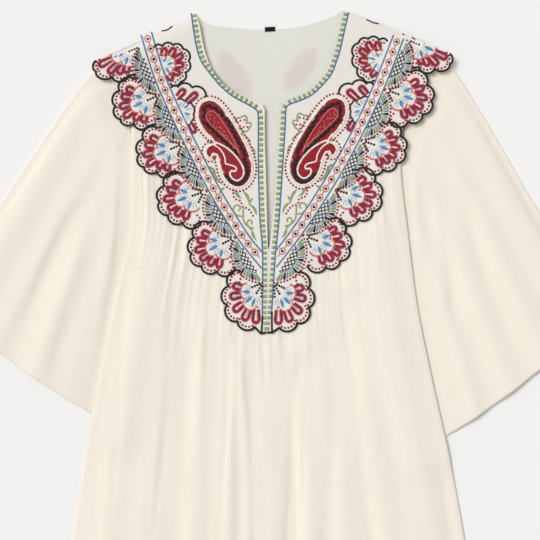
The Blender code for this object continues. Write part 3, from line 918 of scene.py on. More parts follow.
def add_mesh(name: str, points: np.ndarray, faces: list[tuple[int, ...]],
             material: bpy.types.Material) -> bpy.types.Object:
    """Makes one named object of a mesh.

    Args:
        name: The object's name.
        points: Its points.
        faces: Its faces.
        material: Its finish.

    Returns:
        The object, in the scene.
    """
    mesh = bpy.data.meshes.new(name)
    mesh.from_pydata(np.reshape(points, (-1, 3)).tolist(), [], faces)
    mesh.materials.append(material)
    mesh.update()
    mesh.shade_smooth()
    log.info("%s: %d points, %d faces", name, len(mesh.vertices), len(faces))
    return put(name, mesh)


def set_grain(piece: bpy.types.Object, grain: np.ndarray) -> None:
    """Writes the cloth's own coordinates, in metres along its threads.

    Args:
        piece: The cloth.
        grain: Two coordinates for each of its points.
    """
    mesh = piece.data
    layer = mesh.uv_layers.new(name="grain")
    corners = np.empty(len(mesh.loops), dtype=np.int32)
    mesh.loops.foreach_get("vertex_index", corners)
    layer.data.foreach_set("uv", np.reshape(grain, (-1, 2))[corners].astype(np.float32).ravel())


def declare(piece: bpy.types.Object, node: str) -> None:
    """Hides the frame's node that a piece replaces, and hangs the piece from the root.

    Args:
        piece: The piece.
        node: The node that it replaces.
    """
    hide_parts(node)
    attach(piece, "root")


def grid_shell(name: str, xs: np.ndarray, downs: np.ndarray, tops: np.ndarray, thickness: np.ndarray,
               material: bpy.types.Material) -> bpy.types.Object:
    """Makes a thin closed shell of cloth on a grid.

    Args:
        name: The object's name.
        xs: The grid's x.
        downs: The grid's down.
        tops: The heights of its upper face.
        thickness: The cloth's thickness at each place.
        material: Its finish.

    Returns:
        The shell.
    """
    rows, columns = xs.shape
    points = np.concatenate([to_world(xs, downs, tops).reshape(-1, 3),
                             to_world(xs, downs, tops - thickness).reshape(-1, 3)])
    under = rows * columns
    here = (np.arange(rows - 1)[:, None] * columns + np.arange(columns - 1)).ravel()
    upper = np.stack([here, here + columns, here + columns + 1, here + 1], axis=1)
    faces = upper.tolist() + (upper[:, ::-1] + under).tolist()
    first, last = np.arange(columns), (rows - 1) * columns + np.arange(columns)
    left, right = np.arange(rows) * columns, np.arange(rows) * columns + columns - 1
    for border in (first, right, last[::-1], left[::-1]):
        faces += [(start, end, under + end, under + start) for start, end in zip(border, border[1:])]
    piece = add_mesh(name, points, [tuple(int(corner) for corner in face) for face in faces], material)
    grain = np.stack([xs, -downs], axis=-1).reshape(-1, 2)
    set_grain(piece, np.concatenate([grain, grain]))
    return piece


@dataclass
class BodyPanel:
    """A gathered panel of the body, from its seam under the yoke to its hem."""

    lie: Lie
    material: bpy.types.Material
    columns: int = 236
    rows: int = 150
    back_cells: int = 90
    edge_roll: float = 0.007
    edge_softness: float = 0.022
    fold_share: float = 0.45
    lift: float = 0.0028
    lift_run: float = 0.06
    deepest: float = -0.0010
    highest: float = 0.0215
    gathers: int = 110
    gather_width: float = 0.42
    gather_rise: tuple[float, float] = (-0.0008, 0.0012)
    gather_breadth: tuple[float, float] = (0.0022, 0.0048)
    gather_reach: tuple[float, float] = (0.035, 0.150)
    gather_lean: tuple[float, float] = (-0.02, 0.02)
    seed: int = 7

    def rows_down(self) -> np.ndarray:
        """Spaces the rows, closer near the seam, with a few at the hem's turning.

        Returns:
            Where each row lies, as a part of the way down.
        """
        fall = np.linspace(0.0, 1.0, self.rows - 3) ** 1.25
        turn = HEM_DEPTH / LENGTH
        return np.sort(np.concatenate([fall, [1 - turn * 1.15, 1 - turn, 1 - turn * 0.5]]))

    def grid(self, columns: int, rows: np.ndarray) -> tuple[np.ndarray, ...]:
        """Lays out a grid over the panel.

        Args:
            columns: How many columns.
            rows: Where the rows lie.

        Returns:
            Across, fall, x and down at each crossing.
        """
        across, fall = np.meshgrid(np.linspace(0.0, 1.0, columns), rows)
        xs, downs = body_place(across, fall)
        return across, fall, xs, downs

    def hem(self, downs: np.ndarray, across: np.ndarray) -> np.ndarray:
        """How much thicker the cloth is where the hem is turned up."""
        left = LENGTH - HEM_RISE * (2 * across - 1) ** 2 - downs
        return HEM_EXTRA * (1 - smooth((left - HEM_DEPTH) / 0.0015))

    def gather_height(self, across: np.ndarray, xs: np.ndarray, downs: np.ndarray) -> np.ndarray:
        """Adds the small gathers that run down from the yoke's stitching.

        Args:
            across: Part of the width.
            xs: The places' x.
            downs: The places' down.

        Returns:
            The height that they add.
        """
        chance = np.random.default_rng(self.seed)
        past = self.lie.back_yoke.gap(xs, downs)
        height = np.zeros_like(xs)
        for start in np.linspace(0.012, 0.988, self.gathers) + chance.uniform(-0.004, 0.004, self.gathers):
            rise, breadth, reach, lean = (chance.uniform(*limits) for limits in (
                self.gather_rise, self.gather_breadth, self.gather_reach, self.gather_lean))
            run = (across - start - lean * (downs - 0.25)) * self.gather_width
            height += rise * np.exp(-(run / breadth) ** 2) * (1 - smooth(past / reach))
        return height

    def front(self) -> bpy.types.Object:
        """Makes the gathered front, with its folds, creases and gathers.

        Returns:
            The panel.
        """
        across, fall, xs, downs = self.grid(self.columns, self.rows_down())
        width = read_table(SIDES, downs, 2) - read_table(SIDES, downs, 1)
        seam = read_table(SEAM, across, 1)
        onset = smooth((downs - seam - FOLD_START) / FOLD_ONSET)
        base = self.lie.back(xs, downs) + WALL + HEM_EXTRA + LAYER_GAP
        gap = np.minimum(across, 1 - across) * width
        folds = self.fold_share * fold_height(across, fall, width) + self.lift * smooth(gap / self.lift_run)
        folds *= onset
        folds += crease_height(FRONT_CREASES, xs, downs) + self.gather_height(across, xs, downs)
        # The side seams draw the front down to the back
        roll = np.sin(np.clip(gap / self.edge_roll, 0.0, 1.0) * math.pi / 2)
        tops = base + np.maximum(folds, self.deepest) * smooth(gap / self.edge_softness) + FRONT_WALL * roll
        return grid_shell("front_body_cloth", xs, downs, np.minimum(tops, self.highest),
                          CLOTH_THICKNESS + self.hem(downs, across), self.material)

    def back(self) -> bpy.types.Object:
        """Makes the back, flat on the floor but where it crosses the back yoke and the sleeves.

        Returns:
            The panel.
        """
        rows = np.sort(np.append(np.linspace(0.0, 1.0, self.back_cells), 1 - HEM_DEPTH / LENGTH))
        across, _, xs, downs = self.grid(self.back_cells, rows)
        thickness = CLOTH_THICKNESS + self.hem(downs, across)
        return grid_shell("back_body_cloth", xs, downs, self.lie.back(xs, downs) + thickness, thickness,
                          self.material)


@dataclass
class Sleeve:
    """A bell sleeve, lying as a flat tube with a narrow rolled hem."""

    lie: Lie
    side: int
    material: bpy.types.Material
    rows: int = 110
    columns: int = 110
    edge_round: float = 0.0022
    edge_softness: float = 0.020
    fold_share: float = 0.75
    lift: float = 0.0022
    lift_run: float = 0.030
    deepest: float = -0.0006
    press_edge: float = 0.003
    press_run: float = 0.022
    least_round: float = 0.35

    def cover_gap(self, xs: np.ndarray, downs: np.ndarray) -> np.ndarray:
        """Measures how far places lie outside the yoke and the body that cover them.

        Args:
            xs: The places' x.
            downs: The places' down.

        Returns:
            The distance of each place, zero where it is covered.
        """
        edge = read_table(SIDES, downs, 1 if self.side < 0 else 2)
        past = np.where(downs > SEAM[0, 1], (xs - edge) * self.side, 1.0)
        return np.maximum(np.minimum(past, self.lie.back_yoke.gap(xs, downs)), 0.0)

    def fold_height(self, along: np.ndarray, across: np.ndarray) -> np.ndarray:
        """Measures how far the broad folds stand up.

        Args:
            along: From the armhole, 0, to the hem, 1.
            across: From the fold edge, 0, to the underarm, 1.

        Returns:
            The height of each place.
        """
        height = np.zeros_like(along)
        for armhole, hem, rise, upper, lower in SLEEVE_FOLDS[self.side]:
            run = across - mix(armhole, hem, along)
            height += rise * np.exp(-(run / np.where(run < 0, upper, lower)) ** 2)
        return height * smooth(np.minimum(across, 1 - across) / EDGE_SOFTENING) * smooth(along / 0.6)

    def build(self) -> bpy.types.Object:
        """Makes the tube: an outer and an inner skin, closed at both open ends.

        Returns:
            The sleeve.
        """
        turn = HEM_DEPTH / SLEEVE_LENGTH
        rows = np.sort(np.append(np.linspace(0.0, 1.0, self.rows), [1 - turn, 1 - turn * 0.85]))
        even = np.linspace(0.0, 1.0, self.columns + 1)
        across_row = 0.5 - 0.5 * np.cos(even * math.pi) * (0.75 + 0.25 * np.abs(np.cos(even * math.pi)))
        across, along = np.meshgrid(across_row, rows)
        xs, downs = sleeve_place(self.side, along, across)
        cover = self.cover_gap(xs, downs)
        width = np.hypot(*(np.array(sleeve_place(self.side, along, across * 0 + 1))
                           - np.array(sleeve_place(self.side, along, across * 0))))
        gap = np.minimum(across, 1 - across) * width
        folds = self.fold_share * self.fold_height(along, across)
        folds *= smooth((cover - COVER_FLAT) / COVER_SOFTENING)
        creases = crease_height(SLEEVE_CREASES[self.side], xs, downs)
        creases += self.lift * smooth(gap / self.lift_run)
        # What lies under the yoke and the body is pressed flat
        free = smooth((cover - self.press_edge) / self.press_run)
        folds += np.maximum(creases, self.deepest - folds) * free
        round_off = np.sqrt(1 - (1 - np.clip(gap / self.edge_round, 0.0, 1.0)) ** 2)
        hem = HEM_EXTRA * smooth((along - (1 - turn)) / (turn * 0.15))
        half_stack = WALL + SLEEVE_AIR / 2
        middle = self.lie.over_back_yoke(xs, downs) + half_stack
        upper = middle + half_stack * round_off + folds * smooth(gap / self.edge_softness)
        lower = middle - half_stack * round_off
        inset = np.clip(across, CLOTH_THICKNESS / width, 1 - CLOTH_THICKNESS / width)
        inner = sleeve_place(self.side, along, inset)
        thickness = (CLOTH_THICKNESS + hem) * np.clip(round_off, self.least_round, 1.0)
        skins = []
        for place, high, low in (((xs, downs), upper, lower),
                                 (inner, upper - thickness, lower + thickness)):
            # A ring runs over the upper layer and back along the lower one
            way_back = to_world(*place, low)[:, -2:0:-1]
            skins.append(np.concatenate([to_world(*place, high), way_back], axis=1))
        return self.tube(skins[0], skins[1], along, across * width)

    def tube(self, outer: np.ndarray, inner: np.ndarray, along: np.ndarray,
             around: np.ndarray) -> bpy.types.Object:
        """Closes a tube's wall between two skins.

        Args:
            outer: Rings of points of the outer skin.
            inner: Rings of points of the inner skin.
            along: Part of the sleeve's length at each place of the upper layer.
            around: Metres round the sleeve at each place of the upper layer.

        Returns:
            The sleeve.
        """
        rows, count = outer.shape[:2]
        under = rows * count
        faces = []
        for row in range(rows - 1):
            for step in range(count):
                here, beside = row * count + step, row * count + (step + 1) % count
                faces.append((here, beside, beside + count, here + count))
                faces.append((under + here, under + here + count, under + beside + count, under + beside))
        last = (rows - 1) * count
        for step in range(count):
            beside = (step + 1) % count
            faces.append((beside, step, under + step, under + beside))
            faces.append((last + step, last + beside, under + last + beside, under + last + step))
        if self.side < 0:
            faces = [face[::-1] for face in faces]
        name = "sleeve_left_cloth" if self.side < 0 else "sleeve_right_cloth"
        piece = add_mesh(name, np.concatenate([outer.reshape(-1, 3), inner.reshape(-1, 3)]), faces,
                         self.material)
        upper = np.stack([around, along * SLEEVE_LENGTH], axis=-1)
        grain = np.concatenate([upper, upper[:, -2:0:-1]], axis=1).reshape(-1, 2)
        set_grain(piece, np.concatenate([grain, grain]))
        return piece


@dataclass(frozen=True)
class Ghost:
    """Where needlework of the back's outside shows faintly through the cloth: an oval, leaning."""

    middle: Place
    half_length: float
    half_width: float
    turn: float


# The back's two paisleys show through inside the neck
NECK_GHOSTS = (Ghost((-0.0505, 0.0960), 0.040, 0.017, 58.0), Ghost((0.0490, 0.0900), 0.040, 0.017, -55.0))


def ghost_strength(ghosts: tuple[Ghost, ...], xs: np.ndarray, downs: np.ndarray) -> np.ndarray:
    """Finds how much shows through at places.

    Args:
        ghosts: What is behind the cloth.
        xs: The places' x.
        downs: The places' down.

    Returns:
        From 0 to 1.
    """
    strength = np.zeros_like(xs)
    for ghost in ghosts:
        turn = math.radians(ghost.turn)
        run_x, run_down = xs - ghost.middle[0], downs - ghost.middle[1]
        along = (run_x * math.cos(turn) + run_down * math.sin(turn)) / ghost.half_length
        aside = (run_down * math.cos(turn) - run_x * math.sin(turn)) / ghost.half_width
        strength = np.maximum(strength, smooth((1.15 - np.hypot(along, aside)) / 0.35))
    return strength


@dataclass
class OutlineShell:
    """A thin shell of cloth within a closed outline."""

    name: str
    outline: Path
    material: bpy.types.Material
    cell: float
    thickness: float
    ghosts: tuple[Ghost, ...] = ()
    edge_clearance: float = 0.45
    sharp_angle: float = 50.0

    def inner_spots(self) -> list[Vector]:
        """Spreads spots in a triangular pattern within the outline, clear of its edge.

        Returns:
            The spots.
        """
        shape = Outline(self.outline)
        low, high = shape.ends.min(axis=0), shape.ends.max(axis=0)
        downs = np.arange(low[1], high[1], self.cell * math.sqrt(3) / 2)
        grid_x, grid_down = np.meshgrid(np.arange(low[0], high[0], self.cell), downs)
        grid_x = grid_x + (np.arange(len(downs)) % 2)[:, None] * self.cell / 2
        clear = shape.edge_gap(grid_x, grid_down) > self.cell * self.edge_clearance
        kept = shape.contains(grid_x, grid_down) & clear
        return [Vector(spot) for spot in zip(grid_x[kept], grid_down[kept])]

    def build(self, top: Callable[[np.ndarray, np.ndarray], np.ndarray]) -> bpy.types.Object:
        """Makes the shell.

        Args:
            top: Gives the height of the cloth's upper face at places.

        Returns:
            The shell.
        """
        spots = [Vector(spot) for spot in self.outline] + self.inner_spots()
        count = len(self.outline)
        edges = [(index, (index + 1) % count) for index in range(count)]
        places, _, triangles, *_ = delaunay_2d_cdt(spots, edges, [], 1, 1e-6)
        flat = np.array([(spot.x, spot.y) for spot in places])
        heights = top(flat[:, 0], flat[:, 1])
        under = len(places)
        border = {}
        faces = []
        for triangle in triangles:
            one, two, three = (places[index] for index in triangle)
            turned = (two - one).cross(three - one) < 0
            upper = tuple(triangle) if turned else tuple(reversed(triangle))
            faces.append(upper)
            faces.append(tuple(under + index for index in reversed(upper)))
            for start, end in zip(upper, upper[1:] + upper[:1]):
                if border.pop((end, start), None) is None:
                    border[(start, end)] = True
        faces += [(start, under + start, under + end, end) for start, end in border]
        points = np.concatenate([to_world(flat[:, 0], flat[:, 1], heights),
                                 to_world(flat[:, 0], flat[:, 1], heights - self.thickness)])
        piece = add_mesh(self.name, points, faces, self.material)
        if self.ghosts:
            ghost = ghost_strength(self.ghosts, flat[:, 0], flat[:, 1])
            column = piece.data.attributes.new("ghost", "FLOAT", "POINT")
            column.data.foreach_set("value", np.concatenate([ghost, ghost]))
        piece.data.set_sharp_from_angle(angle=math.radians(self.sharp_angle))
        grain = flat * np.array([1.0, -1.0])
        set_grain(piece, np.concatenate([grain, grain]))
        return piece


def make_label(material: bpy.types.Material) -> bpy.types.Object:
    """Makes the plain black tab at the middle of the back neck.

    Args:
        material: Its finish.

    Returns:
        The tab.
    """
    across, along = np.meshgrid(np.linspace(-0.5, 0.5, 15), np.linspace(-0.5, 0.5, 9))
    xs, downs = across * LABEL_SIZE[0], along * LABEL_SIZE[1]
    turned_x = LABEL_CENTRE[0] + xs * math.cos(LABEL_TILT) - downs * math.sin(LABEL_TILT)
    turned_down = LABEL_CENTRE[1] + xs * math.sin(LABEL_TILT) + downs * math.cos(LABEL_TILT)
    # The middle stands a little off the cloth, and the stitched ends lie down
    tops = WALL + SEAM_GAP + LABEL_LIFT + LABEL_BOW * (1 - (2 * across) ** 2)
    return grid_shell("neck_label_tab", turned_x, turned_down, tops, np.full_like(tops, LABEL_THICKNESS),
                      material)


class Thread(Enum):
    """The thread colours of the needlework."""

    CRIMSON = "#A30F37"
    RED = "#9C1325"
    CORAL = "#DE7C72"
    BLACK = "#141315"
    BLUE = "#4A7FB5"
    PETAL = "#5B97CF"
    PALE = "#C3D2DF"
    SLATE = "#6E879E"
    GREEN = "#A3B179"
    # A darker green: down the middle of the leaves, and painted shade along one side of each neck block
    MOSS = "#6F8A5B"
    IVORY = "#F4F0E6"


@dataclass(frozen=True)
class Lay:
    """How a kind of stitch is laid, in metres: pitch along its path, thickness, height and unevenness."""

    pitch: float
    thread: float
    height: float
    lift: float
    slant: float = 0.0
    jitter: float = 0.06
    segments: int = 5
    rings: int = 3


class Stitch(Enum):
    """The kinds of stitch. Real floss is about 0.4 mm thick; it is drawn at twice that, to show."""

    SATIN = Lay(0.00085, 0.00110, 0.00050, 0.00025)
    FINE = Lay(0.00100, 0.00120, 0.00038, 0.00020)
    FILL = Lay(0.00105, 0.00160, 0.00045, 0.00012)
    CORD = Lay(0.00120, 0.00190, 0.00110, 0.00035, slant=0.35, jitter=0.12, segments=6, rings=3)
    KNOT = Lay(0.00000, 0.00330, 0.00085, 0.00035, segments=7, rings=4)


def resample(path: Path, pitch: float) -> np.ndarray:
    """Finds evenly spaced places on a path.

    Args:
        path: The path.
        pitch: About how far apart.

    Returns:
        The places, both ends kept.
    """
    spots = np.array(path, dtype=float)
    run = np.concatenate([[0.0], np.cumsum(np.hypot(*np.diff(spots, axis=0).T))])
    count = max(int(round(run[-1] / pitch)), 1)
    marks = np.linspace(0.0, run[-1], count + 1)
    return np.stack([np.interp(marks, run, spots[:, 0]), np.interp(marks, run, spots[:, 1])], axis=1)


def shifted(path: Path | np.ndarray, distance: float | np.ndarray) -> Path:
    """Draws a line beside a path.

    Args:
        path: The path.
        distance: How far to its side, all along or for each place; below zero is the other side.

    Returns:
        The line's places.
    """
    spots = np.array(path, dtype=float)
    run = np.gradient(spots, axis=0)
    run /= np.maximum(np.hypot(run[:, 0], run[:, 1]), 1e-9)[:, None]
    return (spots + np.stack([-run[:, 1], run[:, 0]], axis=1) * np.reshape(distance, (-1, 1))).tolist()


def scan(outline: Path, turn: float, pitch: float) -> list[Path]:
    """Lays parallel lines across a closed outline.

    Args:
        outline: The outline.
        turn: The lines' direction in degrees.
        pitch: How far apart they are.

    Returns:
        The pieces of the lines that lie within.
    """
    angle = math.radians(turn)
    along = np.array([math.cos(angle), math.sin(angle)])
    side = np.array([-along[1], along[0]])
    spots = np.array(outline)
    runs, offs = spots @ along, spots @ side
    lines = []
    for level in np.arange(offs.min() + pitch / 2, offs.max(), pitch):
        cuts = []
        for index in range(len(spots)):
            before, after = offs[index - 1], offs[index]
            if (before > level) != (after > level):
                part = (level - before) / (after - before)
                cuts.append(runs[index - 1] + (runs[index] - runs[index - 1]) * part)
        cuts.sort()
        for start, end in zip(cuts[::2], cuts[1::2]):
            if end - start > 0.0012:
                lines.append([tuple(along * start + side * level), tuple(along * end + side * level)])
    return lines


class StitchTree:
    """Geometry Nodes that lay threads across paths, or knots on points."""

    SOCKETS = (("Pitch", "NodeSocketFloat"), ("Thread", "NodeSocketFloat"), ("Height", "NodeSocketFloat"),
               ("Slant", "NodeSocketFloat"), ("Jitter", "NodeSocketFloat"), ("Seed", "NodeSocketInt"),
               ("Segments", "NodeSocketInt"), ("Rings", "NodeSocketInt"), ("Finish", "NodeSocketMaterial"))

    def __init__(self, name: str, on_paths: bool) -> None:
        """Builds the tree.

        Args:
            name: Its name.
            on_paths: Whether it lays threads across paths; otherwise it sets one on each point.
        """
        tree = self.tree = bpy.data.node_groups.new(name, "GeometryNodeTree")
        tree.is_modifier = True
        tree.interface.new_socket("Geometry", in_out="INPUT", socket_type="NodeSocketGeometry")
        tree.interface.new_socket("Geometry", in_out="OUTPUT", socket_type="NodeSocketGeometry")
        for socket, kind in self.SOCKETS:
            tree.interface.new_socket(socket, in_out="INPUT", socket_type=kind)
        self.given = add_node(tree, NodeKind.GROUP_IN)
        points = self.given["Geometry"]
        if on_paths:
            curve = add_node(tree, NodeKind.TO_CURVE, {"Mesh": points})
            spread = add_node(tree, NodeKind.RESAMPLE,
                              {"Curve": curve["Curve"], "Length": self.given["Pitch"]}, mode="LENGTH")
            points = spread["Curve"]
        threads = add_node(tree, NodeKind.INSTANCE,
                           {"Points": points, "Instance": self.thread_shape(),
                            "Rotation": self.turned(on_paths), "Scale": self.scaled(on_paths)})
        shaded = add_node(tree, NodeKind.STORE,
                          {"Geometry": threads["Instances"], "Name": "shade",
                           "Value": self.chance(0.0, 1.0, 11)}, data_type="FLOAT", domain="INSTANCE")
        real = add_node(tree, NodeKind.REALIZE, {"Geometry": shaded["Geometry"]})
        soft = add_node(tree, NodeKind.SET_SMOOTH, {"Geometry": real["Geometry"]})
        done = add_node(tree, NodeKind.SET_MATERIAL,
                        {"Geometry": soft["Geometry"], "Material": self.given["Finish"]})
        add_node(tree, NodeKind.GROUP_OUT, {"Geometry": done["Geometry"]})

    def chance(self, low: float, high: float, salt: int) -> bpy.types.NodeSocket:
        """Draws a seeded random number for each stitch.

        Args:
            low: The lowest.
            high: The highest.
            salt: What is added to the seed, so that each draw is its own.

        Returns:
            The socket that gives it.
        """
        tree = self.tree
        seed = add_node(tree, NodeKind.MATHS, {0: self.given["Seed"], 1: float(salt)}, operation="ADD")
        return add_node(tree, NodeKind.RANDOM, {2: low, 3: high, "Seed": seed[0]}, data_type="FLOAT")[1]

    def thread_shape(self) -> bpy.types.NodeSocket:
        """Shapes one stitch: a plump lens whose poles are its two ends.

        Returns:
            Its geometry.
        """
        tree = self.tree
        ball = add_node(tree, NodeKind.SPHERE,
                        {"Segments": self.given["Segments"], "Rings": self.given["Rings"], "Radius": 1.0})
        return add_node(tree, NodeKind.TRANSFORM,
                        {"Geometry": ball["Mesh"], "Rotation": (0.0, math.pi / 2, 0.0)})["Geometry"]

    def turned(self, on_paths: bool) -> bpy.types.NodeSocket:
        """Turns each stitch across its path, flat on the cloth, a little unevenly.

        Args:
            on_paths: Whether there is a path to turn by.

        Returns:
            The rotation.
        """
        tree = self.tree
        heading = add_node(tree, NodeKind.TANGENT)["Tangent"] if on_paths else (0.0, 1.0, 0.0)
        lean = add_node(tree, NodeKind.NAMED, {"Name": "lean"}, data_type="FLOAT_VECTOR")["Attribute"]
        axes = add_node(tree, NodeKind.AXES, {"Primary Axis": lean, "Secondary Axis": heading},
                        primary_axis="Z", secondary_axis="Y")
        slanted = add_node(tree, NodeKind.MATHS,
                           {0: self.chance(-1.0, 1.0, 23), 1: self.given["Jitter"], 2: self.given["Slant"]},
                           operation="MULTIPLY_ADD")
        twist = add_node(tree, NodeKind.COMBINE, {"Z": slanted[0]})
        euler = add_node(tree, NodeKind.EULER, {"Euler": twist["Vector"]})
        return add_node(tree, NodeKind.ROTATE,
                        {"Rotation": axes["Rotation"], "Rotate By": euler["Rotation"]},
                        rotation_space="LOCAL")["Rotation"]

    def scaled(self, on_paths: bool) -> bpy.types.NodeSocket:
        """Scales each stitch to its reach, thread and height, a little unevenly; knots are round.

        Args:
            on_paths: Whether the stitches are threads and no knots.

        Returns:
            The scale.
        """
        tree = self.tree
        reach = add_node(tree, NodeKind.NAMED, {"Name": "reach"}, data_type="FLOAT")["Attribute"]
        length = add_node(tree, NodeKind.MATHS, {0: reach, 1: self.chance(0.95, 1.06, 37)},
                          operation="MULTIPLY")[0]
        half = add_node(tree, NodeKind.MATHS, {0: self.given["Thread"], 1: 0.5}, operation="MULTIPLY")[0]
        height = add_node(tree, NodeKind.MATHS, {0: self.given["Height"], 1: self.chance(0.85, 1.12, 41)},
                          operation="MULTIPLY")[0]
        return add_node(tree, NodeKind.COMBINE,
                        {"X": length, "Y": half if on_paths else length, "Z": height})["Vector"]

    def lay(self, piece: bpy.types.Object, lay: Lay, seed: int,
            finish: bpy.types.Material) -> bpy.types.Object:
        """Lays the stitches and leaves them as a plain mesh.

        Args:
            piece: The object that holds the paths.
            lay: How they are laid.
            seed: Seed of the unevenness.
            finish: The thread's finish.

        Returns:
            The same object, holding the stitches.
        """
        values = {name.capitalize(): value for name, value in vars(lay).items()}
        values |= {"Seed": seed, "Finish": finish}
        modifier = piece.modifiers.new("stitches", "NODES")
        modifier.node_group = self.tree
        for item in self.tree.interface.items_tree:
            if item.in_out == "INPUT" and item.name in values:
                modifier[item.identifier] = values[item.name]
        bpy.context.view_layer.update()
        graph = bpy.context.evaluated_depsgraph_get()
        mesh = bpy.data.meshes.new_from_object(piece.evaluated_get(graph), preserve_all_data_layers=True,
                                               depsgraph=graph)
        paths = piece.data
        piece.modifiers.clear()
        piece.data = mesh
        bpy.data.meshes.remove(paths)
        return piece


@dataclass
class Needlework:
    """Paths and points gathered by thread and stitch, then laid on one yoke."""

    lie: Lie
    side: int
    word: str
    paths: dict[tuple[Thread, Stitch], list[np.ndarray]] = field(default_factory=dict)

    def run(self, thread: Thread, stitch: Stitch, path: Path | np.ndarray,
            reach: float | np.ndarray) -> None:
        """Adds a line of stitches.

        Args:
            thread: Its colour.
            stitch: Its kind.
            path: The line down its middle.
            reach: Half the stitches' length, one for all or one for each place of the path.
        """
        spots = np.array(path, dtype=float)
        column = np.full(len(spots), reach) if np.ndim(reach) == 0 else np.asarray(reach)
        self.paths.setdefault((thread, stitch), []).append(np.column_stack([spots, column]))

    def dots(self, thread: Thread, path: Path, pitch: float, radius: float) -> None:
        """Adds a row of knots, evenly spaced along a path."""
        self.run(thread, Stitch.KNOT, resample(path, pitch), radius)

    def leaf(self, thread: Thread, start: Place, end: Place, breadth: float, bend: float = 0.0,
             stitch: Stitch = Stitch.SATIN) -> None:
        """Adds a satin leaf or petal.

        Args:
            thread: Its colour.
            start: Its foot.
            end: Its tip.
            breadth: Its half width at its widest.
            bend: How far its middle leans aside, as a part of its length.
            stitch: Its kind.
        """
        part = np.linspace(0.0, 1.0, 9)
        run = np.array(end) - np.array(start)
        side = np.array([-run[1], run[0]])
        spots = np.array(start) + np.outer(part, run) + np.outer(np.sin(part * math.pi) * bend, side)
        self.run(thread, stitch, spots, breadth * np.sin(0.12 + part ** 0.85 * 2.9) + 0.0001)

    def fill(self, thread: Thread, outline: Path, turn: float, band: float) -> None:
        """Fills an outline with bands of stitches that lie side by side, turned by some degrees."""
        for line in scan(outline, turn, band):
            self.run(thread, Stitch.FILL, resample(line, 0.004), band * 0.80)

    def build(self, trees: dict[bool, StitchTree], finishes: dict[Thread, bpy.types.Material]
              ) -> list[bpy.types.Object]:
        """Lays everything on the yoke's cloth.

        Args:
            trees: The trees for paths and for points.
            finishes: The finish of each thread.

        Returns:
            The objects, one for each thread and stitch.
        """
        made = []
        kinds = sorted(self.paths, key=lambda kind: (kind[0].name, kind[1].name))
        for index, (thread, stitch) in enumerate(kinds):
            paths = self.paths[(thread, stitch)]
            rows = np.concatenate(paths)
            xs, downs = rows[:, 0], rows[:, 1]
            step = 0.0015
            heights = self.lie.front_yoke(xs, downs, self.side)
            slope_x = (self.lie.front_yoke(xs + step, downs, self.side) - heights) / step
            slope_down = (self.lie.front_yoke(xs, downs + step, self.side) - heights) / step
            lean = np.stack([-slope_x, slope_down, np.ones_like(xs)], axis=1)
            lean /= np.linalg.norm(lean, axis=1)[:, None]
            edges = []
            start = 0
            if stitch is not Stitch.KNOT:
                for path in paths:
                    edges += [(start + i, start + i + 1) for i in range(len(path) - 1)]
                    start += len(path)
            mesh = bpy.data.meshes.new("paths")
            mesh.from_pydata(to_world(xs, downs, heights + stitch.value.lift).tolist(), edges, [])
            mesh.attributes.new("reach", "FLOAT", "POINT").data.foreach_set("value", rows[:, 2])
            mesh.attributes.new("lean", "FLOAT_VECTOR", "POINT").data.foreach_set("vector", lean.ravel())
            name = f"{self.word}_{thread.name.lower()}_{stitch.name.lower()}"
            piece = put(name, mesh)
            trees[stitch is not Stitch.KNOT].lay(piece, stitch.value, index * 7 + 3, finishes[thread])
            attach(piece, "root")
            log.info("%s: %d faces", name, len(piece.data.polygons))
            made.append(piece)
        return made


# Middle line of the diamond band, from the shoulder to the centre front
BAND = {
    -1: mm(-180.2, 42.8, -160.4, 105, -133.7, 164.6, -104.7, 223.5, -74.3, 281.1, -38.6, 338.4,
           -17.7, 365.3),
    1: mm(192.2, 48.5, 167, 112.5, 138.5, 174.5, 106.1, 235.1, 70.2, 293.4, 40.5, 336.6, 19.8, 363.5),
}
# Blue line beside the neck and the slit
NECK_LINE = {
    -1: mm(-114.8, 6, -111, 32.3, -106.5, 57.8, -99.8, 78, -87, 96, -70.5, 115.5, -52.5, 130.5,
           -30.7, 142.5, -19.5, 149.2, -15, 156, -14.4, 180, -14.4, 237, -12, 313.5, -8.1, 364.5,
           -8.5, 457.5),
    1: mm(120.7, 4.5, 114, 33, 108, 60, 102.8, 76.5, 94.5, 97.5, 79.5, 115.5, 64.5, 129, 45, 138,
          30.9, 143.3, 26.7, 150, 25.8, 171, 22.5, 223.5, 16.5, 313.5, 11.2, 364.5, 8.1, 409.5, 5.4, 453),
}
# How far apart the crimson dots are
DOT = 0.0052

# The left paisley's shapes: its edge, the scroll at its foot and the drop inside, as a few places each
PAISLEY_EDGE = mm(-87.8, 137.3, -78.3, 140.1, -68.7, 149.2, -59.3, 162, -50.9, 174.6, -42.5, 189.3,
                  -35.1, 203, -29.9, 215.5, -26.1, 228.1, -25, 238.8, -26.7, 249.3, -32, 258.7,
                  -40.4, 264.5, -48.8, 264.5, -57.1, 259.8, -63.5, 252.5, -67.6, 244, -69.8, 234.6,
                  -71.9, 226.1, -75, 217.6, -81.5, 214.5)
PAISLEY_BACK = mm(-77.7, 203.3, -79.2, 196.6, -84, 191.4, -93, 182, -100.5, 170.4, -103.2, 154.5,
                  -98.3, 141.8, -87.8, 137.3)
PAISLEY_HOOK = mm(-81.5, 214.5, -84.9, 216.9, -85.6, 221.1, -89.4, 219.3, -91.4, 213.5, -88.8, 207.6,
                  -83.4, 204.6, -77.7, 203.3)
PAISLEY_SCROLL = mm(-77.7, 199.5, -66.6, 204.6, -55, 212.7, -45.6, 222.9, -39.3, 232.5, -36.1, 242,
                    -38.2, 251.4, -45.6, 256.6, -53, 253.5, -56.7, 247.2, -54.6, 242.1, -49.2, 242.9)
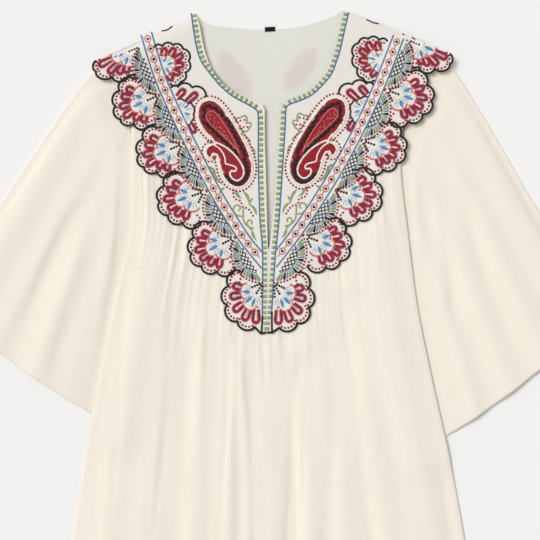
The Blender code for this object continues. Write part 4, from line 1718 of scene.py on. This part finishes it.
PAISLEY_SWIRL = mm(-48, 242.1, -47.1, 238.2, -50.7, 234.9, -57.3, 233.1, -63.3, 230.7, -64.2, 222.9,
                   -67.5, 215.1, -72.6, 208.5, -78.9, 204.3)
PAISLEY_DROP = mm(-42.5, 216.7, -47.1, 209.4, -53.5, 201.9, -64.5, 192.3, -74.4, 183, -83.1, 175.2,
                  -90, 166.2, -92.1, 158.4, -85.6, 152.6, -79.5, 154.4, -72.6, 161.7, -64.5, 174,
                  -56.7, 185.4, -49.2, 199.5, -42.5, 216.7)
PAISLEY_WAVES = (mm(-96.1, 147.9, -94.6, 155.4, -96.1, 163.5),
                 mm(-94.5, 144.4, -87.8, 145.5, -80, 148.2, -72.7, 153.9, -65.4, 160.5),
                 mm(-63, 163.2, -57.6, 173.1, -52.5, 182.2, -47.4, 191.9, -41.5, 202.8, -36.9, 212,
                    -33.3, 220.2),
                 mm(-96.9, 167.8, -89.4, 174.3, -81.3, 181.8, -72.6, 190.5, -62.7, 199.2, -53.1, 208.2,
                    -44.7, 217.2))
PAISLEY_ROPE = mm(-36.9, 223.5, -32.1, 233.3, -30.7, 243, -32.7, 252, -38.1, 258.3, -45.6, 261.9,
                  -53.1, 259.8, -60, 254.1, -63.9, 246.9)
PAISLEY_FLECKS = 22

# Turn, whether satin blue, and reach of each petal round a flower's eye
PETALS = ((86, False, 0.018), (66, False, 0.020), (42, True, 0.0225), (20, False, 0.022), (0, True, 0.0255),
          (-26, False, 0.0215), (-50, True, 0.0225), (-78, False, 0.020))
END_PETALS = ((85, False, 0.020), (59, True, 0.0225), (37, False, 0.021), (15, True, 0.0245),
              (-14, True, 0.0235), (-43, False, 0.020))
# Turns of the crimson loops, and the highest turn that the motifs reach
LOOP_TURNS = {Stand.WHOLE: (53, 32, 11, -10, -31, -52), Stand.SHOULDER: (-3, -24, -42, -58),
              Stand.CENTRE: (73, 47, 18, -8, -31)}
HIGHEST_TURN = {Stand.WHOLE: 70.0, Stand.SHOULDER: 8.0, Stand.CENTRE: 95.0}
# How the right differs from the left's mirror: its shift and rise, and its lean above and below a level
MIRROR_SHIFT = 0.0135
MIRROR_RISE = 0.0035
MIRROR_LEVEL = 0.135
LEAN_BELOW = 0.05
LEAN_ABOVE = 0.07
# Thread and breadth of the crescents' bars, in turn
CRESCENT_BARS = ((Thread.GREEN, 1.0), (Thread.SLATE, 0.55), (Thread.BLACK, 0.95), (Thread.SLATE, 0.55))
BARS_IN_CRESCENT = 17


@dataclass(frozen=True)
class HalfFlower:
    """A half-flower on the neck's side of the left band, as a few places for each of its parts."""

    cord: Path
    inner: Path
    loops: tuple[Path, ...]
    petals: tuple[Path, ...]
    pales: tuple[Path, ...]
    dotted: bool = True
    inner_thread: Thread = Thread.CORAL
    inner_reach: float = 0.0014


HALF_FLOWERS = (
    HalfFlower(cord=mm(-169.7, 57.3, -158, 56.2, -141.8, 54.4, -127.1, 59.9, -118.7, 77.9, -123.8, 94.8,
                       -130.4, 108.7, -146.2, 111.7),
               inner=mm(-162, 71.3, -153.6, 67.2, -143.3, 73.1, -139.2, 81.9, -143.3, 92.8,
                        -150.2, 100.6),
               loops=(mm(-156.5, 70.7, -153.2, 55.1), mm(-146.6, 70.7, -137.4, 55.7),
                      mm(-139.2, 76.2, -124.2, 66.5),
                      mm(-139.2, 84.9, -122, 83), mm(-143.3, 92.8, -127.8, 98.3),
                      mm(-149.7, 98.3, -140.3, 108.7)),
               petals=(mm(-156.5, 79.3, -151.4, 72.7), mm(-150.6, 83, -140.7, 80.1),
                       mm(-153.2, 87.8, -145.5, 97)),
               pales=(mm(-160.2, 78.2, -157.6, 71.3), mm(-152.5, 79, -144.7, 73.8),
                      mm(-150.6, 85.6, -140.7, 88.5),
                      mm(-155.4, 90.7, -152.1, 99.2))),
    HalfFlower(cord=mm(-144.4, 117.5, -134.5, 116.8, -113.5, 117.5, -92.6, 131.1),
               inner=mm(-135.6, 135.5, -124.9, 138.1, -112.8, 144.4, -111.7, 157.2, -114.6, 167.9,
                        -119.8, 173.7),
               loops=(mm(-134.5, 131.5, -122, 117.5), mm(-122, 140, -102.5, 122.7),
                      mm(-116.1, 171.9, -107.6, 188.4)),
               petals=(mm(-125.6, 148, -118.3, 143.6), mm(-124.9, 155.4, -116.1, 158.3)),
               pales=(mm(-132.6, 145.1, -129.3, 138.1), mm(-123.1, 151, -113.5, 148),
                      mm(-124.5, 158.3, -115.7, 165.3),
                      mm(-126, 160.9, -120.9, 170.1), mm(-130, 146.9, -123.8, 140)),
               dotted=False, inner_thread=Thread.BLACK, inner_reach=0.0017),
)


@dataclass
class YokeEmbroidery:
    """The needlework of one front yoke: traditional flowers, a diamond band and a paisley.

    Every motif is drawn here from a few places and its own rules, in the manner of the photograph.
    """

    lie: Lie
    side: int
    eye_reach: float = 0.0080
    petal_foot: float = 0.0098
    pale_foot: float = 0.0105
    seed_radius: float = 0.0019
    dot_inset: float = 0.0066
    band_half: float = 0.0080
    diamond_pitch: float = 0.0163
    diamond_half: float = 0.0044
    net_pitch: float = 0.0050
    block_pitch: float = 0.0081
    work: Needlework = field(init=False)

    def __post_init__(self) -> None:
        """Starts the needlework."""
        self.work = Needlework(self.lie, self.side, "left" if self.side < 0 else "right")

    def build(self, trees: dict[bool, StitchTree], finishes: dict[Thread, bpy.types.Material]
              ) -> list[bpy.types.Object]:
        """Draws every motif and lays its stitches.

        Args:
            trees: The trees for paths and for points.
            finishes: The finish of each thread.

        Returns:
            The objects made.
        """
        self.edge_cord()
        for flower in FLOWERS[self.side]:
            self.flower(flower)
        self.band()
        for upper, lower in zip(FLOWERS[self.side], FLOWERS[self.side][1:]):
            self.crescent(upper, lower)
        self.inner_flowers()
        self.paisley()
        self.greens()
        self.shoulder_edge()
        self.neck_edge()
        return self.work.build(trees, finishes)

    def own(self, path: Path) -> Path:
        """Puts places on this side; the right's neck is narrower, so its mirror leans a little.

        Args:
            path: The places, given for the left.

        Returns:
            Their counterparts on this side.
        """
        if self.side < 0:
            return path
        mirrored = []
        for x, down in path:
            below, above = max(down - MIRROR_LEVEL, 0.0), LEAN_ABOVE * max(MIRROR_LEVEL - down, 0.0)
            mirrored.append((MIRROR_SHIFT - LEAN_BELOW * below - above - x, down - MIRROR_RISE - above))
        return mirrored

    def curved(self, path: Path, steps: int = 6) -> Path:
        """A smooth line through places given for the left, on this side."""
        return curve_through(self.own(path), steps)

    def edge_cord(self) -> None:
        """The black cord on the scalloped edge, which turns in between flowers."""
        for index, flower in enumerate(FLOWERS[self.side]):
            edge = flower_lobes(flower, self.side, 14, 0.0013)
            if flower.stand is Stand.CENTRE:
                tip = YOKE_TIPS[self.side]
                edge = [spot for spot in edge if spot[0] * self.side > tip[0] * self.side + 0.003]
                edge.append((tip[0], tip[1] - 0.0016))
                edge.append((CENTRE_FOOT[0] + 0.0012 * self.side, CENTRE_FOOT[1] - 0.0018))
            elif flower.notches is not LOW:
                edge.append(flower.aim(self.side).past(0.0055, -0.0370))
            if index and flower.stand is Stand.WHOLE:
                edge.insert(0, flower.aim(self.side).past(0.0010, 0.0362))
            self.work.run(Thread.BLACK, Stitch.CORD, edge, 0.0021)

    def flower(self, flower: Flower) -> None:
        """Draws one outer flower.

        Args:
            flower: The flower.
        """
        aim = flower.aim(self.side)
        size = flower.size
        high = HIGHEST_TURN[flower.stand]
        at_centre = flower.stand is Stand.CENTRE
        at_shoulder = flower.stand is Stand.SHOULDER
        ring = [aim.at(self.eye_reach, turn) for turn in np.linspace(-128, 128, 26)]
        self.work.run(Thread.IVORY, Stitch.SATIN, ring, 0.0011)
        last_row = (0.0019, -0.0088) if at_centre else (-0.0043, -0.0120)
        for start in ((-0.0025, 0.0101), (0.0013, -0.0002), last_row):
            if start[1] > 0.005 and at_shoulder:
                continue
            for step in range(4):
                part = step / 4.2
                spot = aim.past(mix(start[0], -0.0165, part), mix(start[1], 0.0, part))
                self.work.run(Thread.BLACK, Stitch.KNOT, [spot], self.seed_radius)
        for turn, blue, length in END_PETALS if at_centre else PETALS:
            if turn > high + 8 and at_shoulder:
                continue
            if blue:
                self.work.leaf(Thread.PETAL, aim.at(self.petal_foot, turn), aim.at(length, turn), 0.0030)
            else:
                for lean in (-0.0015, 0.0015):
                    foot, tip = aim.at(self.pale_foot, turn), aim.at(length, turn)
                    away = Vector((tip[1] - foot[1], foot[0] - tip[0])).normalized() * lean
                    self.work.leaf(Thread.PALE, foot, (tip[0] + away.x, tip[1] + away.y), 0.0012,
                                   0.16 * math.copysign(1.0, -lean), Stitch.FINE)
        self.coral_scallops(aim, size, high)
        for turn in LOOP_TURNS[flower.stand]:
            base = (0.0235 + 0.0050 * math.cos(math.radians(turn * 1.4)) ** 2) * size
            foot, tip = aim.at(base, turn), aim.at(flower.edge(turn) - 0.0092, turn)
            self.loop(foot, tip, 0.0050 if at_centre else 0.0045 * size)
        # The dotted line runs on along the flower's two sides
        head = [] if at_shoulder else [aim.past(0.0020, 0.0300)]
        foot = [] if at_centre else [aim.past(0.0040, -0.0300)]
        dotted = head + flower_lobes(flower, self.side, 10, self.dot_inset) + foot
        self.work.dots(Thread.CRIMSON, dotted, DOT, 0.00175)

    def coral_scallops(self, aim: Aim, size: float, high: float) -> None:
        """Draws the coral line in three scallops between the petals and the loops.

        Args:
            aim: The flower's eye and direction.
            size: Its size against the common one.
            high: The highest turn that it reaches.
        """
        for first, last, inner, bulge in ((98, 25, 0.0205, 0.0046), (25, -27, 0.0240, 0.0062),
                                          (-27, -98, 0.0205, 0.0042)):
            line = []
            for part in np.linspace(0.0, 1.0, 13):
                turn = mix(first, last, part)
                if turn > high + 4 and high < 20 or turn < -40 and high > 90:
                    continue
                reach = (inner + bulge * math.sin(part * math.pi) ** 0.7) * size
                line.append(aim.at(reach, turn))
            if len(line) > 2:
                self.work.run(Thread.CORAL, Stitch.SATIN, line, 0.00160)

    def loop(self, base: Place, tip: Place, half: float) -> None:
        """Draws one crimson loop round its pale slit.

        Args:
            base: Where it starts.
            tip: Where it ends.
            half: Half the breadth between its two arms' middle lines.
        """
        foot, head = np.array(base), np.array(tip)
        run = head - foot
        length = float(np.hypot(*run))
        run /= length
        side = np.array([-run[1], run[0]])
        arms = []
        for part in np.linspace(0.0, 1.0, 17):
            sweep = part * math.pi
            forward = length - half - 0.0022 + half * math.sin(sweep)
            if part in (0.0, 1.0):
                forward = 0.0
            spread = half * math.cos(sweep) * (0.66 if part in (0.0, 1.0) else 1.0)
            arms.append(foot + run * forward + side * spread)
        self.work.run(Thread.CRIMSON, Stitch.SATIN, arms, 0.00325)
        slit_end = foot + run * (length - half * 0.75 - 0.0020)
        slit_thread = Thread.IVORY if round(base[1] * 1e4) % 2 else Thread.PALE
        self.work.leaf(slit_thread, foot + run * 0.0005, slit_end, 0.00155)

    def band(self) -> None:
        """The chain of diamonds between its two blue lines."""
        line = curve_through(BAND[self.side], 10)
        start = Vector(line[0]) + (Vector(line[0]) - Vector(line[1])).normalized() * 0.0068
        foot = Vector(line[-1]) + (Vector(line[-1]) - Vector(line[-4])).normalized() * 0.022
        line = [(start.x, start.y)] + line + [(foot.x, foot.y)]
        neck = np.array(NECK_LINE[self.side])
        for off in (-self.band_half, self.band_half):
            path = [spot for spot in resample(shifted(line, off), 0.002).tolist()
                    if (spot[0] - np.interp(spot[1], neck[:, 1], neck[:, 0])) * self.side > 0.0002]
            self.work.run(Thread.BLUE, Stitch.SATIN, path, 0.00135)
        spots = resample(line, self.diamond_pitch)
        for first, last in zip(spots, spots[1:]):
            run = last - first
            length = np.hypot(*run)
            side = np.array([-run[1], run[0]]) / length * self.diamond_half
            middle = (first + last) / 2
            if (middle[0] - np.interp(middle[1], neck[:, 1], neck[:, 0])) * self.side < 0.0055:
                break
            ring = []
            for turn in np.linspace(0.0, 2 * math.pi, 21):
                forward, aside = math.cos(turn), math.sin(turn)
                # Lozenges with rounded sides
                plump = 1.0 / (abs(forward) ** 1.5 + abs(aside) ** 1.5) ** (1 / 1.5)
                ring.append(middle + run * 0.34 * forward * plump + side * aside * plump)
            self.work.run(Thread.CORAL, Stitch.FINE, ring, 0.00115)
            self.work.run(Thread.CORAL, Stitch.FINE, [last - run * 0.13, last + run * 0.13], 0.00105)
            self.work.run(Thread.BLACK, Stitch.KNOT, [middle], 0.00230)

    def bow(self, chord: tuple[np.ndarray, np.ndarray], half: float, rise: float,
            parts: np.ndarray) -> np.ndarray:
        """Draws a round arc over a chord, on the side away from the neck.

        Args:
            chord: Its two ends.
            half: Half the arc's breadth, as a part of the chord.
            rise: Its height, as a part of the chord.
            parts: How far along the arc each place is.

        Returns:
            The places.
        """
        length, run, out = self.chord_frame(*chord)
        half, rise = half * length, rise * length
        radius = (half * half + rise * rise) / (2 * rise)
        sweep = math.asin(min(half / radius, 1.0))
        if rise > half:
            sweep = math.pi - sweep
        turns = ((2 * parts - 1) * sweep)[:, None]
        middle = (chord[0] + chord[1]) / 2
        return middle + run * radius * np.sin(turns) + out * (rise - radius + radius * np.cos(turns))

    def chord_frame(self, first: np.ndarray, last: np.ndarray) -> tuple[float, np.ndarray, np.ndarray]:
        """Measures a chord.

        Args:
            first: Its upper end.
            last: Its lower end.

        Returns:
            Its length, its direction, and the direction across it, away from the neck.
        """
        chord = last - first
        length = float(np.hypot(*chord))
        run = chord / length
        out = np.array([run[1], -run[0]])
        return length, run, out if out[0] * self.side > 0 else -out

    def crescent(self, upper: Flower, lower: Flower) -> None:
        """Draws the fan of bars between two flowers' roots.

        Args:
            upper: The flower above.
            lower: The flower below.
        """
        chord = (np.array(upper.root), np.array(lower.root))
        length, run, out = self.chord_frame(*chord)
        parts = np.linspace(0.0, 1.0, 23)
        inner = self.bow(chord, 0.275, 0.135, parts)
        self.work.dots(Thread.CRIMSON, self.bow(chord, 0.485, 0.285, parts), 0.0050, 0.00170)
        self.work.run(Thread.PETAL, Stitch.SATIN, inner, 0.00085)
        parts = (np.arange(BARS_IN_CRESCENT) + 0.5) / BARS_IN_CRESCENT
        feet, heads = self.bow(chord, 0.305, 0.155, parts), self.bow(chord, 0.440, 0.250, parts)
        for index, (foot, head) in enumerate(zip(feet, heads)):
            thread, breadth = CRESCENT_BARS[index % len(CRESCENT_BARS)]
            self.work.run(thread, Stitch.SATIN, [foot, mix(foot, head, 0.5), head],
                          np.array([0.0015, 0.0026, 0.0030]) * breadth)
        # A net of black threads fills the space under the fan
        middle = (chord[0] + chord[1]) / 2
        floor = [middle + run * length * 0.275 * sign - out * 0.002 for sign in (1, -1)]
        lean = math.degrees(math.atan2(run[1], run[0]))
        for turn in (lean + 42, lean - 42):
            for line in scan([*inner, *floor], turn, self.net_pitch):
                self.work.run(Thread.BLACK, Stitch.FINE, resample(line, 0.003), 0.00105)

    def inner_flowers(self) -> None:
        """The two half-flowers on the neck's side of the band."""
        for half in HALF_FLOWERS:
            for thread, leaves, breadth in ((Thread.PETAL, half.petals, 0.0021),
                                            (Thread.PALE, half.pales, 0.0014)):
                for leaf in leaves:
                    foot, tip = self.own(leaf)
                    self.work.leaf(thread, foot, tip, breadth)
            for leaf in half.loops:
                foot, tip = self.own(leaf)
                self.loop(foot, mix(np.array(foot), np.array(tip), 0.88), 0.0040)
            self.work.run(half.inner_thread, Stitch.SATIN, self.lobed(half.inner, 0.22), half.inner_reach)
            cord = self.lobed(half.cord, 0.30)
            self.work.run(Thread.BLACK, Stitch.CORD, cord, 0.00190)
            if half.dotted:
                self.work.dots(Thread.CRIMSON, shifted(cord, -0.0054 * self.side), 0.0050, 0.00165)

    def lobed(self, notches: Path, bulge: float) -> Path:
        """A scalloped line through its notches.

        Args:
            notches: The notches, given for the left.
            bulge: How far each lobe swells, as a part of its chord.

        Returns:
            The line on this side.
        """
        spots = np.array(self.own(notches))
        line = []
        for first, last in zip(spots, spots[1:]):
            run = last - first
            out = np.array([run[1], -run[0]]) * -self.side
            for part in np.linspace(0.0, 1.0, 11)[:-1]:
                swell = bulge * math.sin(part * math.pi) ** 0.65
                line.append(first + run * part + out * swell)
        line.append(spots[-1])
        return line

    def paisley(self) -> None:
        """The red paisley, with its scroll, drop, ropes and dots."""
        edge, hook, back = (self.curved(path) for path in (PAISLEY_EDGE, PAISLEY_HOOK, PAISLEY_BACK))
        outline = edge + hook + back
        self.work.fill(Thread.RED, outline, 62.0 * -self.side, 0.0046)
        self.work.run(Thread.IVORY, Stitch.CORD, shifted(outline, 0.0016 * self.side), 0.00190)
        drop = self.curved(PAISLEY_DROP)
        self.work.run(Thread.CORAL, Stitch.CORD, drop, 0.00095)
        tip, top = (np.array(spot) for spot in self.own(mm(-47.3, 212.2, -88.8, 155.2)))
        for index in range(PAISLEY_FLECKS):
            part = (index + 1.5) / (PAISLEY_FLECKS + 1.5)
            aside = 0.0058 * math.sin(part * math.pi) ** 0.5 * part * math.sin(index * 2.4)
            spot = mix(tip, top, part) + np.array([top[1] - tip[1], tip[0] - top[0]]) / 0.07 * aside
            turn = index * 1.9
            half = np.array([math.cos(turn), math.sin(turn)]) * 0.0015
            self.work.run(Thread.CORAL, Stitch.CORD, [spot - half, spot + half], 0.00075)
        for waves in PAISLEY_WAVES:
            self.wavy(self.curved(waves))
        for path, reach in ((PAISLEY_SCROLL, 0.00175), (PAISLEY_SWIRL, 0.00150)):
            self.work.run(Thread.IVORY, Stitch.CORD, self.curved(path), reach)
        # The red below shows between the turns of the rope
        rope = resample(self.curved(PAISLEY_ROPE), 0.0012)
        for start in range(0, len(rope) - 3, 5):
            self.work.run(Thread.BLACK, Stitch.CORD, rope[start:start + 4], 0.00460)
        away = shifted(outline, 0.0074 * self.side)
        self.work.dots(Thread.CRIMSON, away[2:], DOT, 0.00170)

    def wavy(self, path: Path) -> None:
        """Draws a black waving line.

        Args:
            path: The line that it swings about.
        """
        pitch, wave_length = 0.0013, 0.0095
        spots = resample(path, pitch)
        swing = 0.0014 * np.sin(np.arange(len(spots)) * pitch / wave_length * 2 * math.pi)
        self.work.run(Thread.BLACK, Stitch.CORD, shifted(spots, swing), 0.00290)

    def greens(self) -> None:
        """The leaves, tendrils and dotted trails between the paisley, the slit and the band."""
        work = self.work
        for leaf, breadth, bend in (
                (mm(-26.2, 204, -19.5, 220.5), 0.0016, -0.12),
                (mm(-89.4, 234.9, -78.9, 251.3), 0.0025, -0.18),
                (mm(-84, 240, -69, 261.7), 0.0030, 0.08), (mm(-48.8, 269.2, -39.8, 283.5), 0.0027, 0.12),
                (mm(-36.7, 273, -28.8, 289.5), 0.0027, -0.12), (mm(-22.6, 282.9, -27.8, 294), 0.0022, 0.16),
                (mm(-27, 292.5, -17.3, 308.3), 0.0024, -0.14), (mm(-24, 330, -17.4, 345.8), 0.0022, 0.10),
                (mm(-64.5, 267, -72.7, 276.7), 0.0020, 0.16)):
            start, end = self.own(leaf)
            work.leaf(Thread.GREEN, start, end, breadth, bend * -self.side)
            near = (mix(start[0], end[0], 0.84), mix(start[1], end[1], 0.84))
            work.leaf(Thread.MOSS, start, near, 0.0008, bend * -self.side)
        for path in (mm(-51.5, 163.5, -42.3, 162.6, -34, 159.5, -31.2, 166.2, -33, 171.8),
                     mm(-42.9, 178.5, -33.1, 183.6, -26.7, 176.2, -25.6, 170.9, -31.2, 169.9),
                     mm(-40.5, 185.5, -33, 191, -27.9, 195.6, -26.5, 199.2),
                     mm(-39.3, 309.9, -45.9, 308.4, -51.6, 302.4, -50.4, 295.2, -44.4, 293.1,
                        -41.1, 297.6, -44.1, 301.2),
                     mm(-36.7, 297, -37.2, 309, -35.1, 319.5, -25.5, 329.2, -21, 339),
                     mm(-21.6, 327.6, -27.9, 326.1, -31.5, 320.1, -28.5, 315.3, -24, 317.4, -24.9, 321.6)):
            work.run(Thread.GREEN, Stitch.SATIN, self.curved(path), 0.00150)
        for path in (mm(-52.2, 270, -50.3, 282.8, -40.8, 287.3, -38.4, 295, -29.1, 299.1, -22.6, 309),
                     mm(-47.3, 168, -41.1, 166.8, -35.1, 165.9),
                     mm(-42, 177.9, -36.6, 176.4, -30.6, 176.4)):
            work.dots(Thread.CRIMSON, self.curved(path), DOT, 0.00165)

    def shoulder_edge(self) -> None:
        """What shows of the back's cord along the shoulder."""
        bits = {-1: (mm(-158.7, 29.8, -151, 28.7, -143.6, 23.1),),
                1: (mm(148.1, 13.2, 156.9, 17.6, 165, 19.1), mm(201.7, 34.9, 212, 38.2, 219.4, 42.6))}
        for bit in bits[self.side]:
            lowered = [(x, down + 0.0022) for x, down in bit]
            self.work.run(Thread.BLACK, Stitch.CORD, curve_through(lowered, 5), 0.00130)

    def neck_edge(self) -> None:
        """The blue line and the green buttonhole blocks round the neck and down the slit."""
        line = curve_through(NECK_LINE[self.side], 8)
        self.work.run(Thread.BLUE, Stitch.SATIN, line, 0.00135)
        tail = line + [(CENTRE_FOOT[0] + 0.0048 * self.side, CENTRE_FOOT[1] - 0.0030)]
        spots = resample(tail, self.block_pitch)
        for first, last in zip(spots, spots[1:]):
            run = last - first
            length = np.hypot(*run)
            side = np.array([run[1], -run[0]]) / length * -self.side
            breadth = float(np.interp(first[1], (0.30, 0.37), (0.0058, 0.0050)))
            foot = (first + last) / 2 + side * (0.0012 + breadth / 2)
            # The last stitch of each block, in the darker green, is painted shade along the block's one
            # side
            for off, thread, reach in ((-0.0020, Thread.GREEN, 0.52), (-0.0008, Thread.GREEN, 0.62),
                                       (0.0004, Thread.GREEN, 0.62), (0.0016, Thread.MOSS, 0.54)):
                spot = foot + run / length * off
                ends = [spot - run / length * 0.0003, spot + run / length * 0.0003]
                self.work.run(thread, Stitch.SATIN, ends, breadth * reach)
        if self.side < 0:
            end = curve_through(mm(-8.3, 459, -9, 472.5, -9.9, 484.5), 6)
        else:
            end = curve_through(mm(5.7, 453, 5.7, 469.5, 6, 483.8), 4)
        self.work.run(Thread.BLACK, Stitch.CORD, end, 0.00180)


@dataclass
class Studio:
    """The pale floor, the soft light and the camera."""

    distance: float = 1.9125
    centre: tuple[float, float] = (0.003, 0.27)
    floor: str = "#F4F4F3"
    world_strength: float = 0.46
    sun_strength: float = 1.98

    def camera(self) -> None:
        """Looks straight down on the dress, framed as in the photograph."""
        data = bpy.data.cameras.new("camera")
        data.lens = 85.0
        data.sensor_width = 36.0
        data.clip_end = 60.0
        camera = put("camera", data)
        camera.location = (self.centre[0], self.centre[1], self.distance)
        bpy.context.scene.camera = camera

    def build(self) -> None:
        """Adds the floor and the light of a large soft box overhead."""
        size = 30.0
        mesh = bpy.data.meshes.new("floor")
        mesh.from_pydata([(-size, -size, 0.0), (size, -size, 0.0), (size, size, 0.0), (-size, size, 0.0)],
                         [], [(0, 1, 2, 3)])
        mesh.materials.append(PaintedFloor(self.floor).build())
        floor = put("floor", mesh)
        # A hair below the cloth, so that the two don't share a face
        floor.location.z = -0.0002
        world = bpy.data.worlds.new("studio")
        world.use_nodes = True
        sky = world.node_tree.nodes["Background"]
        sky.inputs["Color"].default_value = linear("#FFFEFE")
        sky.inputs["Strength"].default_value = self.world_strength
        bpy.context.scene.world = world
        sun_data = bpy.data.lights.new("soft_box", "SUN")
        sun_data.energy = self.sun_strength
        sun_data.angle = math.radians(32)
        sun_data.color = (1.0, 0.996, 0.993)
        put("soft_box", sun_data).rotation_euler = (math.radians(-16), math.radians(-30), 0.0)
        bpy.context.scene.view_settings.view_transform = "Standard"


def main() -> None:
    """Builds the looks from the floor up."""
    logging.basicConfig(level=logging.INFO, format="%(message)s")
    studio = Studio()
    studio.camera()
    studio.build()
    lie = Lie()
    cloth = WovenCotton("cream_cotton_weave", "#F3EBDD").build()
    yoke_cloth = WovenCotton("yoke_cotton_weave", "#E9E5DD").build()
    inside = WovenCotton("yoke_inside_weave", "#E3E2DA", ghost="#DDD5CD").build()
    tape = WovenCotton("black_tape_weave", "#141414", pitch_mm=0.6, bloom=0.05).build()

    body = BodyPanel(lie, cloth)
    back = body.back()
    declare(back, "back_body")
    front = body.front()
    declare(front, "front_body")
    for piece, under in ((back, ["back_yoke", "sleeve_left", "sleeve_right"]),
                         (front, ["back_body_cloth"])):
        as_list(under)

    back_outline = back_yoke_outline(10)
    back_yoke = OutlineShell("back_yoke_cloth", back_outline, inside, cell=0.007, thickness=YOKE_THICKNESS,
                             ghosts=NECK_GHOSTS).build(lambda xs, downs: np.full_like(xs, WALL))
    declare(back_yoke, "back_yoke")

    trees = {True: StitchTree("stitches_on_paths", True), False: StitchTree("knots_on_points", False)}
    finishes = {thread: Floss(f"floss_{thread.name.lower()}", thread.value).build() for thread in Thread}
    for side, word in ((-1, "left"), (1, "right")):
        sleeve = Sleeve(lie, side, cloth).build()
        declare(sleeve, f"sleeve_{word}")
        outline = front_yoke_outline(side, 12)
        shell = OutlineShell(f"front_yoke_{word}_cloth", outline, yoke_cloth, cell=0.006,
                             thickness=YOKE_THICKNESS)
        yoke = shell.build(lambda xs, downs, which=side: lie.front_yoke(xs, downs, which))
        declare(yoke, f"front_yoke_{word}")
        threads = YokeEmbroidery(lie, side).build(trees, finishes)
        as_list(threads)

    label = make_label(tape)
    declare(label, "neck_label")


if __name__ == "__main__":
    main()
